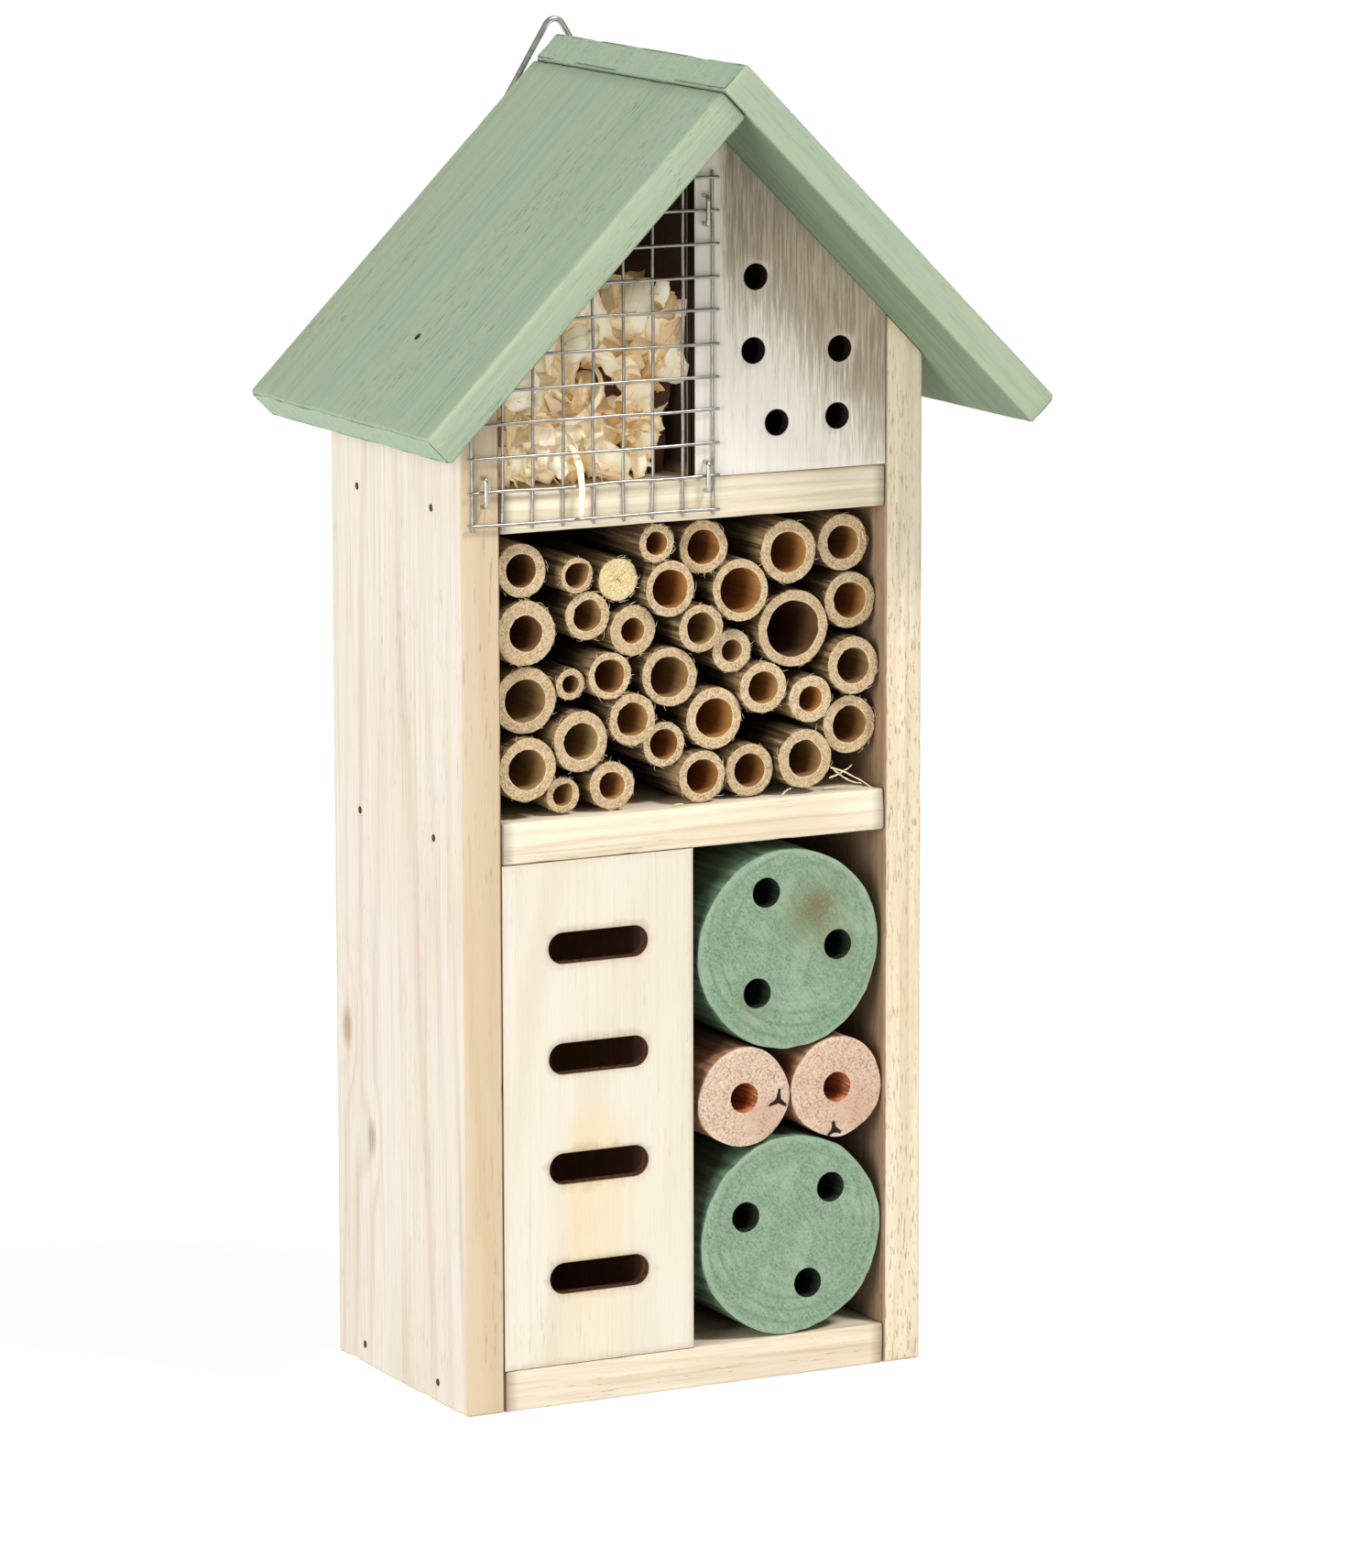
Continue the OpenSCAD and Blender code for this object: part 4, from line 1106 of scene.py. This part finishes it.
def shavingCurl(rng, centre, length, width, bend, room):
    # a strip whose heading turns along it, faster towards one end; across it cups, and its ends are torn
    u, v = np.meshgrid(np.linspace(0, 1, 21), np.linspace(-0.5, 0.5, 6), indexing="ij")
    seed = int(rng.integers(1e9))
    hurry = rng.uniform(-0.6, 1.2)
    heading = bend * (u[:, 0] + hurry * u[:, 0] ** 2) / (1 + hurry) + 0.22 * ripple(u[:, :1] * 3, 2.0, seed)
    step = length / (len(heading) - 1)
    line = np.cumsum(np.stack([np.cos(heading), np.sin(heading)], -1) * step, axis=0)
    slant = rng.uniform(-1.2, 1.2, 2)
    torn = 0.3 * ripple(np.stack([u * 0 + slant[0] * 9, v * 9], -1), 1.6, seed + 3)
    tornStart = np.clip((0.14 - u) / 0.14, 0, 1) * (0.5 + slant[0] * v + torn)
    tornEnd = np.clip((u - 0.86) / 0.14, 0, 1) * (0.5 + slant[1] * v - torn)
    ragged = 1 + 0.14 * ripple(np.stack([u * 7, np.sign(v) * 2], -1), 1.3, seed + 1)
    ragged -= 0.5 * (tornStart + tornEnd)
    lateral = v * width * np.clip(ragged, 0.12, 1.5)
    roll = rng.uniform(-0.9, 0.9) * (u - 0.5) * 2
    out = np.stack([-np.sin(heading), np.cos(heading)], -1)[:, None]
    cup = (v ** 2 - 0.1) * width * rng.uniform(-0.7, 0.7)
    crumple = 0.035 * width * ripple(np.stack([u * 6, v * 5], -1), 2.2, seed + 2)
    side = lateral * np.sin(roll) + cup + crumple
    skew = rng.uniform(-0.15, 0.15) * length * u ** 2
    layers = []
    for layer in (-0.5, 0.5):
        flat = line[:, None] + out * (side + layer * heap["sheet"])[..., None]
        layers.append(np.concatenate([flat, (lateral * np.cos(roll) + skew)[..., None]], -1))
    middle = layers[0].mean((0, 1))
    # some curls lie any way round, and the rest turn a broad side to the front
    around = rng.uniform(0, turn)
    broadside = np.array([[math.cos(around), 0, -math.sin(around)], [0, 1, 0],
                          [math.sin(around), 0, math.cos(around)]])
    axes = np.linalg.qr(rng.normal(size=(3, 3)) + broadside * rng.choice([0, 3.5], p=[0.35, 0.65]))[0]
    low, high = room
    both = np.concatenate([((sheet - middle) @ axes.T + centre).reshape(-1, 3) for sheet in layers])
    squeeze = np.minimum(1, (high - low) / np.ptp(both, axis=0))
    both = (both - both.mean(0)) * squeeze + both.mean(0)
    both = both + np.maximum(low - both.min(0), 0) + np.minimum(high - both.max(0), 0)
    both[:, 2] -= max((both[:, 2] - (apexZ - np.abs(both[:, 0]) - 1.2 * mm)).max(), 0)
    rows, cols = u.shape
    top = gridFaces(rows, cols)
    index = np.arange(rows * cols).reshape(rows, cols)
    loop = np.concatenate([index[:, 0], index[-1, 1:], index[-2::-1, -1], index[0, -2:0:-1]])
    after = np.roll(loop, -1)
    rimFaces = np.stack([loop, after, after + rows * cols, loop + rows * cols], -1)
    grain = np.stack([u * length, lateral, np.full_like(u, rng.uniform(0, 3))], -1).reshape(-1, 3)
    edge = np.maximum(np.abs(v) * 2, np.abs(u - 0.5) * 2).ravel()
    attributes = {"grain": np.tile(grain, (2, 1)), "tone": np.full(2 * rows * cols, rng.beta(1.3, 2.2)),
                  "edge": np.tile(edge, 2)}
    return both, np.concatenate([top, top[:, ::-1] + rows * cols, rimFaces]), attributes


def shavingCore(low, high, crest):
    # a lumpy bolster under the curls, so that no gap shows through the heap, coloured dark as painted shade:
    # a rounded box swept along X
    u, v = np.meshgrid(np.linspace(0, 1, 40), np.linspace(0, 1, 50), indexing="ij")
    box = np.clip(np.stack([np.cos(v * turn), np.sin(v * turn)], -1) * 1.45, -1, 1)
    x = low[0] + 0.8 * mm + u * (high[0] - low[0] - 1.6 * mm)
    y = low[1] + 8 * mm + (box[..., 0] + 1) / 2 * (high[1] - low[1] - 11 * mm)
    z = low[2] + 0.5 * mm + (box[..., 1] + 1) / 2 * (crest(u) - 8 * mm)
    core = np.stack([x, y, z], -1)
    core[..., 1] += 1.5 * mm * ripple(core / mm, 9, 5)
    core[..., 2] += 1.2 * mm * ripple(core / mm, 7, 6) * (core[..., 2] > low[2] + 4 * mm)
    core[..., 2] = np.maximum(core[..., 2], low[2])
    core[0], core[-1] = core[0].mean(0), core[-1].mean(0)
    flat = core.reshape(-1, 3)
    shade = {"grain": flat, "tone": np.full(len(flat), 1.6), "edge": np.zeros(len(flat))}
    return flat, gridFaces(40, 50, False, True), shade


def longSliver():
    # one flat splinter that comes out through an opening of the mesh and hangs in front of the shelf
    low, high = nodeBox("wire_mesh")
    clear = low[1] / mm - 0.5
    sill = nodeBox("upper_shelf")[1][2] / mm
    knots = np.array([[-25.6, clear + 6.5, sill + 11], [-25.0, clear + 3.0, sill + 7.5],
                      [-24.7, clear + 0.6, sill + 3.6], [-24.6, clear, sill - 0.5],
                      [-24.9, clear - 0.2, sill - 5.2]]) * mm
    path = resampled(curve(knots, 2.5 * mm, 6), 0.6 * mm)
    share = np.linspace(0, 1, len(path))
    points, faces = sweep(path, (0.17 - 0.08 * share) * mm, np.array([1.0, 0, 0]), 8)
    middle = np.interp(points[:, 2], path[::-1, 2], path[::-1, 0])
    points[:, 0] = middle + (points[:, 0] - middle) * 5.5
    return points, faces, {"grain": points[:, [2, 0, 1]], "tone": np.full(len(points), 0.2),
                           "edge": np.zeros(len(points))}


def makeShavings():
    low, high = nodeBox("wood_shavings")
    rng = np.random.default_rng(88)
    room = (low + [0.1 * mm, 0.05 * mm, 0.05 * mm], high - [0.1 * mm, 0.3 * mm, -3 * mm])
    width, height = high[0] - low[0], high[2] - low[2]

    def crest(across):
        return np.interp(across, [0, 0.33, 0.67, 1], [0.5, 0.78, 1.0, 0.93]) * height

    parts = [shavingCore(low, high, crest), longSliver()]
    for number in range(heap["curls"]):
        across = rng.uniform(0.02, 0.98)
        atFront = number < heap["curls"] * 0.68
        back = rng.uniform(0.0, 0.2) if atFront else rng.uniform(0.1, 0.9)
        up = rng.uniform(0.02, 1.0) if atFront else rng.uniform(0.75, 1.0)
        centre = low + np.array([across * width, back * (high[1] - low[1]), up * crest(across)])
        length = rng.uniform(heap["shortest"], heap["longest"])
        bend = rng.choice([rng.uniform(0.2, 1.0), rng.uniform(1.0, 2.6), rng.uniform(2.6, 5)])
        parts.append(shavingCurl(rng, centre, length, rng.uniform(heap["narrowest"], heap["widest"]),
                                 bend, room))
    makePiece("woodShavings", *joined(parts), shavingMaterial(shavingLook), "wood_shavings",
              ["wood_shavings"], sharp=60)


makeShavings()
print("shavings made")


# wire, staples, brads and hanger

def metalMaterial(name, colour, dark, rough, stain=None):
    # where tone is 1 the metal is covered by the stain's colour
    material, tree, shader = newMaterial(name, Metallic=1.0)
    place = objectPlace(tree)
    cloud = noise(tree, place, 320, 4.0, 0.6)
    fine = noise(tree, place, 2400, 3.0, 0.6)
    tone = tinted(tree, colour, between(tree, cloud, 0.42, 0.72), 0.6, dark)
    if stain:
        cover = level(tree, "tone")
        tone = mixed(tree, cover, tone, stain)
        fed(tree, shader, "Metallic", minus(tree, 1.0, cover))
    fed(tree, shader, "Base Color", tone)
    fed(tree, shader, "Roughness", ranged(tree, fine, rough - 0.1, rough + 0.15))
    bumped(tree, shader, fine, 0.02 * mm)
    return material


def bare(points):
    return {"tone": np.zeros(len(points))}


meshMetal = metalMaterial("galvanisedWire", rgb(176, 174, 168), rgb(118, 114, 106), 0.34)
bradMetal = metalMaterial("bradSteel", rgb(92, 80, 66), rgb(44, 34, 26), 0.5, rgb(138, 160, 134))
hangerMetal = metalMaterial("zincSteel", rgb(206, 204, 198), rgb(148, 144, 136), 0.28)


def wireMesh():
    # upright wires with level wires over them, each a little out of true
    low, high = nodeBox("wire_mesh")
    shape = {"pitch": 6.3 * mm, "wire": 0.65 * mm, "stub": 1 * mm, "trim": 1.6 * mm, "drift": 0.13 * mm,
             "step": 1.6 * mm}
    cols = int(round((high[0] - low[0] - 2 * shape["stub"]) / shape["pitch"])) + 1
    left, base = low[0] + shape["stub"], low[2] + shape["stub"]
    rows = int((high[2] - base) / shape["pitch"]) + 1
    colY, rowY = high[1] - shape["wire"] / 2, low[1] + shape["wire"] / 2
    parts, rng = [], np.random.default_rng(3)

    def wire(path, across):
        wave = ripple(path / mm, 26, int(rng.integers(1e6)), 4)[:, None] * shape["drift"]
        path = path + wave * across
        points, faces = sweep(path, shape["wire"] / 2, np.array([0, 1.0, 0]), 8)
        parts.append((points, faces, bare(points)))

    for col in range(cols):
        x = left + col * shape["pitch"]
        top = min(base + (rows - 1) * shape["pitch"] + shape["stub"], apexZ - abs(x) - shape["trim"])
        heights = np.linspace(base - shape["stub"], top, int((top - base) / shape["step"]) + 3)
        wire(np.stack([np.full_like(heights, x), np.full_like(heights, colY), heights], -1),
             np.array([1, 0, 0.0]))
    for row in range(rows):
        z = base + row * shape["pitch"]
        reach = apexZ - z - shape["trim"]
        start = max(left - shape["stub"], -reach)
        end = min(left + (cols - 1) * shape["pitch"] + shape["stub"], reach)
        spots = np.linspace(start, end, int((end - start) / shape["step"]) + 2)
        wire(np.stack([spots, np.full_like(spots, rowY), np.full_like(spots, z)], -1), np.array([0, 0, 1.0]))
    makePiece("wireMesh", *joined(parts), meshMetal, "galvanised_wire", ["wire_mesh"], sharp=60)
    return shape, left, base, rows, cols


meshShape, meshLeft, meshBase, meshRows, meshCols = wireMesh()


stapleShape = {"wire": 0.9 * mm, "span": 5.4 * mm, "bend": 0.7 * mm, "fromRight": 1.6 * mm,
               "fromLeft": 2.2 * mm}


def staples():
    # flat-topped wire staples: two legs and a crown with rounded shoulders
    low, high = nodeBox("mesh_staples")
    wire, span = stapleShape["wire"], stapleShape["span"]
    right = meshLeft + (meshCols - 1) * meshShape["pitch"]
    right -= stapleShape["fromRight"]
    places = [(right, meshRows - 2), (right, 1), (meshLeft + stapleShape["fromLeft"], 1)]
    parts = []
    for x, row in places:
        z = meshBase + row * meshShape["pitch"]
        crown = low[1] + wire / 2
        legEnd, under, over = high[1] - 0.2 * mm, z - span / 2, z + span / 2
        path = curve([[x, legEnd, under], [x, crown, under], [x, crown, over], [x, legEnd, over]],
                     stapleShape["bend"], 6)
        points, faces = sweep(resampled(path, 0.3 * mm), wire / 2, np.array([1.0, 0, 0]), 10)
        parts.append((points, faces, bare(points)))
    makePiece("meshStaples", *joined(parts), hangerMetal, "galvanised_wire",
              ["mesh_staples"], sharp=60)


staples()


def looseParts(node):
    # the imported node's points, a set for each part that isn't joined to the others: the lowest point
    # number spreads along every edge until nothing changes
    work = bmesh.new()
    work.from_mesh(frame["nodes"][node].data)
    bmesh.ops.remove_doubles(work, verts=work.verts, dist=mergeWithin)
    mesh = bpy.data.meshes.new("looseParts")
    work.to_mesh(mesh)
    work.free()
    points = np.empty(len(mesh.vertices) * 3)
    mesh.vertices.foreach_get("co", points)
    edges = np.empty(len(mesh.edges) * 2, int)
    mesh.edges.foreach_get("vertices", edges)
    bpy.data.meshes.remove(mesh)
    points, label, before = points.reshape(-1, 3), np.arange(len(points) // 3), None
    while before is None or (label != before).any():
        before = label.copy()
        np.minimum.at(label, edges, np.repeat(before[edges.reshape(-1, 2)].min(1), 2))
    return [points[label == number] for number in np.unique(label)]


def bradHeads():
    # each brad is a pin with a small domed head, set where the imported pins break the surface
    for node, name in (("wall_brads", "wallBrads"), ("roof_brads", "roofBrads")):
        parts = [bradPin(cloud) for cloud in looseParts(node)]
        # on the roof only the brad nearest the front of each slope shows bare steel
        front = min(part[0][:, 1].min() for part in parts)
        for pin, _, tone in parts:
            tone["tone"] += float(node == "roof_brads" and pin[:, 1].min() > front + 5 * mm)
        makePiece(name, *joined(parts), bradMetal, "steel_brads", [node], sharp=40)


bradShape = {"headWidth": 1.5 * mm, "middleZ": 190 * mm}


def bradPin(cloud):
    # the pin's axis is its cloud's longest direction; the head end is the one farther from the house's middle
    middle = cloud.mean(0)
    axis = np.linalg.svd(cloud - middle)[2][0]
    spread = (cloud - middle) @ axis

    def fromMiddle(spot):
        return spot[0] ** 2 + max(0, spot[2] - bradShape["middleZ"]) ** 2

    if fromMiddle(middle + axis) < fromMiddle(middle - axis):
        axis, spread = -axis, -spread
    tip, head = spread.min(), spread.max()
    radius = bradShape["headWidth"] / 2
    section = [(0, tip), (radius * 0.9, tip), (radius * 0.9, head - 0.4 * mm), (radius, head - 0.1 * mm),
               (radius, head + 0.04 * mm), (radius * 0.7, head + 0.10 * mm), (0, head + 0.12 * mm)]
    side = unit(np.cross(axis, [0.2, 0.9, 0.4]))
    lift = np.cross(axis, side)
    angle = np.arange(20) * turn / 20
    rows = [middle + axis * d + r * (np.cos(angle)[:, None] * side + np.sin(angle)[:, None] * lift)
            for r, d in section]
    points = np.concatenate(rows)
    return points, gridFaces(len(section), 20, False, True), bare(points)


bradHeads()


hanger = {"sheet": 0.5 * mm, "wire": 1.2 * mm, "bend": 2.0 * mm, "shank": 1.6 * mm}


def hangerStrap():
    # a strip folded round the ring's wire: its middle line, then its thickness, then its width
    low, high = nodeBox("hanger_strap")
    width, sheet, fold = high[0] - low[0], hanger["sheet"], (high[1] - low[1]) / 2
    pivot = np.array([high[1] - fold, high[2] - fold])
    radius = fold - sheet / 2
    angle = np.linspace(-turn * 0.25 - 0.62, turn * 0.5, 26)
    loop = pivot + radius * np.stack([np.cos(angle), np.sin(angle)], -1)
    backLine = np.array([[low[1] + sheet / 2, z] for z in np.linspace(pivot[1] - 0.6 * mm, low[2], 8)])
    frontLine = np.array([[low[1] + sheet * 1.5, z] for z in np.linspace(low[2], pivot[1] - 2.2 * mm, 8)])
    line = np.concatenate([frontLine, loop, backLine])
    ahead = np.gradient(line, axis=0)
    normal = unit(np.stack([-ahead[:, 1], ahead[:, 0]], -1))
    across = np.concatenate([[-0.5], np.linspace(-0.485, 0.485, 9), [0.5]]) * width
    pinch = np.array([0.35] + [1.0] * 9 + [0.35])

    def layer(side):
        lift = normal * (side * sheet / 2)
        return np.stack([np.broadcast_to(across, (len(line), 11)), line[:, :1] + lift[:, :1] * pinch,
                         line[:, 1:] + lift[:, 1:] * pinch], -1)

    ring = np.concatenate([layer(1), layer(-1)[:, ::-1]], 1)
    ends = [ring[:1].mean(1, keepdims=True).repeat(22, 1), ring,
            ring[-1:].mean(1, keepdims=True).repeat(22, 1)]
    ring = np.concatenate(ends)
    points = ring.reshape(-1, 3)
    makePiece("hangerStrap", points, gridFaces(len(ring), 22, False, True), bare(points),
              hangerMetal, "hanger_steel", ["hanger_strap"], sharp=50)


def hangerNail():
    # a round head with a slight dome and a shank
    low, high = nodeBox("hanger_nail")
    middle, radius = (low + high) / 2, (high[0] - low[0]) / 2
    head = high[1] - 0.8 * mm
    shank = hanger["shank"] / 2
    section = [(0, low[1]), (shank, low[1] + 0.3 * mm), (shank, head), (radius * 0.96, head),
               (radius, head + 0.25 * mm), (radius * 0.9, head + 0.55 * mm),
               (radius * 0.5, high[1] - 0.05 * mm), (0, high[1])]
    angle = np.arange(32) * turn / 32
    rows = [np.stack([middle[0] + r * np.cos(angle), np.full(32, y), middle[2] + r * np.sin(angle)], -1)
            for r, y in section]
    points = np.concatenate(rows)
    makePiece("hangerNail", points, gridFaces(len(section), 32, False, True), bare(points),
              bradMetal, "steel_brads", ["hanger_nail"], sharp=40)


def hangerRing():
    # one wire bent into a triangle with rounded corners, its ends meeting inside the strap's fold
    low, high = nodeBox("hanger_ring")
    wire, bend = hanger["wire"], hanger["bend"]
    pivotY = (low[1] + high[1]) / 2
    base, top, half = low[2] + 0.7 * mm, high[2] - wire / 2, high[0] - 0.7 * mm
    slope = math.atan2(top - base, half)
    peak = top + bend * (1 / math.cos(slope) - 1)
    halfBase = (peak - base) / math.tan(slope)
    corners = [[0, pivotY, base], [halfBase, pivotY, base], [0, pivotY, peak], [-halfBase, pivotY, base],
               [0, pivotY, base]]
    path = resampled(curve(corners, bend, 9), 0.5 * mm)[:-1]
    points, faces = sweep(path, wire / 2, np.array([0, 1.0, 0]), 14, closed=True)
    makePiece("hangerRing", points, faces, bare(points), hangerMetal, "hanger_steel",
              ["hanger_ring"], body="hanger", sharp=60)


hangerStrap()
hangerNail()
hangerRing()
print("metal parts made")


# floor, light and camera

studio = {
    "world": 0.3, "sun": 2.2, "sunSpread": 14, "left": 17.5, "floorTone": 0.1, "floorGlow": 0.93,
    "lens": 178.5, "distance": 1.494, "azimuth": -27.16, "elevation": 10.28, "roll": -0.125,
    "aim": (4.8 * mm, -4.4 * mm, 115.5 * mm),
}


def makeFloor():
    mesh = bpy.data.meshes.new("studioFloor")
    reach = 6.0
    mesh.from_pydata([(-reach, -reach, 0), (reach, -reach, 0), (reach, reach, 0), (-reach, reach, 0)],
                     [], [(0, 1, 2, 3)])
    floor = bpy.data.objects.new("studioFloor", mesh)
    bpy.context.collection.objects.link(floor)
    material, tree, shader = newMaterial("paleFloor", Roughness=0.9, Specular_IOR_Level=0.1)
    shader.inputs["Base Color"].default_value = (*[studio["floorTone"]] * 3, 1)
    shader.inputs["Emission Color"].default_value = (1, 1, 1, 1)
    shader.inputs["Emission Strength"].default_value = studio["floorGlow"]
    mesh.materials.append(material)


def addLight(name, kind, energy, place, aim, **settings):
    data = bpy.data.lights.new(name, kind)
    data.energy = energy
    for key, value in settings.items():
        setattr(data, key, value)
    light = bpy.data.objects.new(name, data)
    light.location = place
    light.rotation_mode = "QUATERNION"
    light.rotation_quaternion = (Vector(aim) - Vector(place)).to_track_quat("-Z", "Y")
    bpy.context.collection.objects.link(light)


def makeCamera():
    azimuth, elevation = math.radians(studio["azimuth"]), math.radians(studio["elevation"])
    back = Vector((math.sin(azimuth) * math.cos(elevation), -math.cos(azimuth) * math.cos(elevation),
                   math.sin(elevation)))
    data = bpy.data.cameras.new("camera")
    data.lens, data.sensor_width, data.clip_start = studio["lens"], 36, 0.05
    camera = bpy.data.objects.new("camera", data)
    facing = (-back).to_track_quat("-Z", "Y").to_matrix().to_4x4()
    tilted = facing @ Matrix.Rotation(math.radians(studio["roll"]), 4, "Z")
    camera.matrix_world = Matrix.Translation(Vector(studio["aim"]) + back * studio["distance"]) @ tilted
    bpy.context.collection.objects.link(camera)
    bpy.context.scene.camera = camera


world = bpy.data.worlds.new("studioWorld")
world.use_nodes = True
world.node_tree.nodes["Background"].inputs["Color"].default_value = (1, 1, 1, 1)
world.node_tree.nodes["Background"].inputs["Strength"].default_value = studio["world"]
bpy.context.scene.world = world
bpy.context.scene.view_settings.view_transform = "Standard"
makeFloor()
addLight("keyLight", "SUN", studio["sun"], (0.35, -0.45, 0.82), (0, 0, 0),
         angle=math.radians(studio["sunSpread"]))
addLight("leftLight", "AREA", studio["left"], (-1.5, -0.7, 0.45), (0, 0, 0.12), shape="SQUARE", size=0.8)
makeCamera()

bpy.context.view_layer.update()
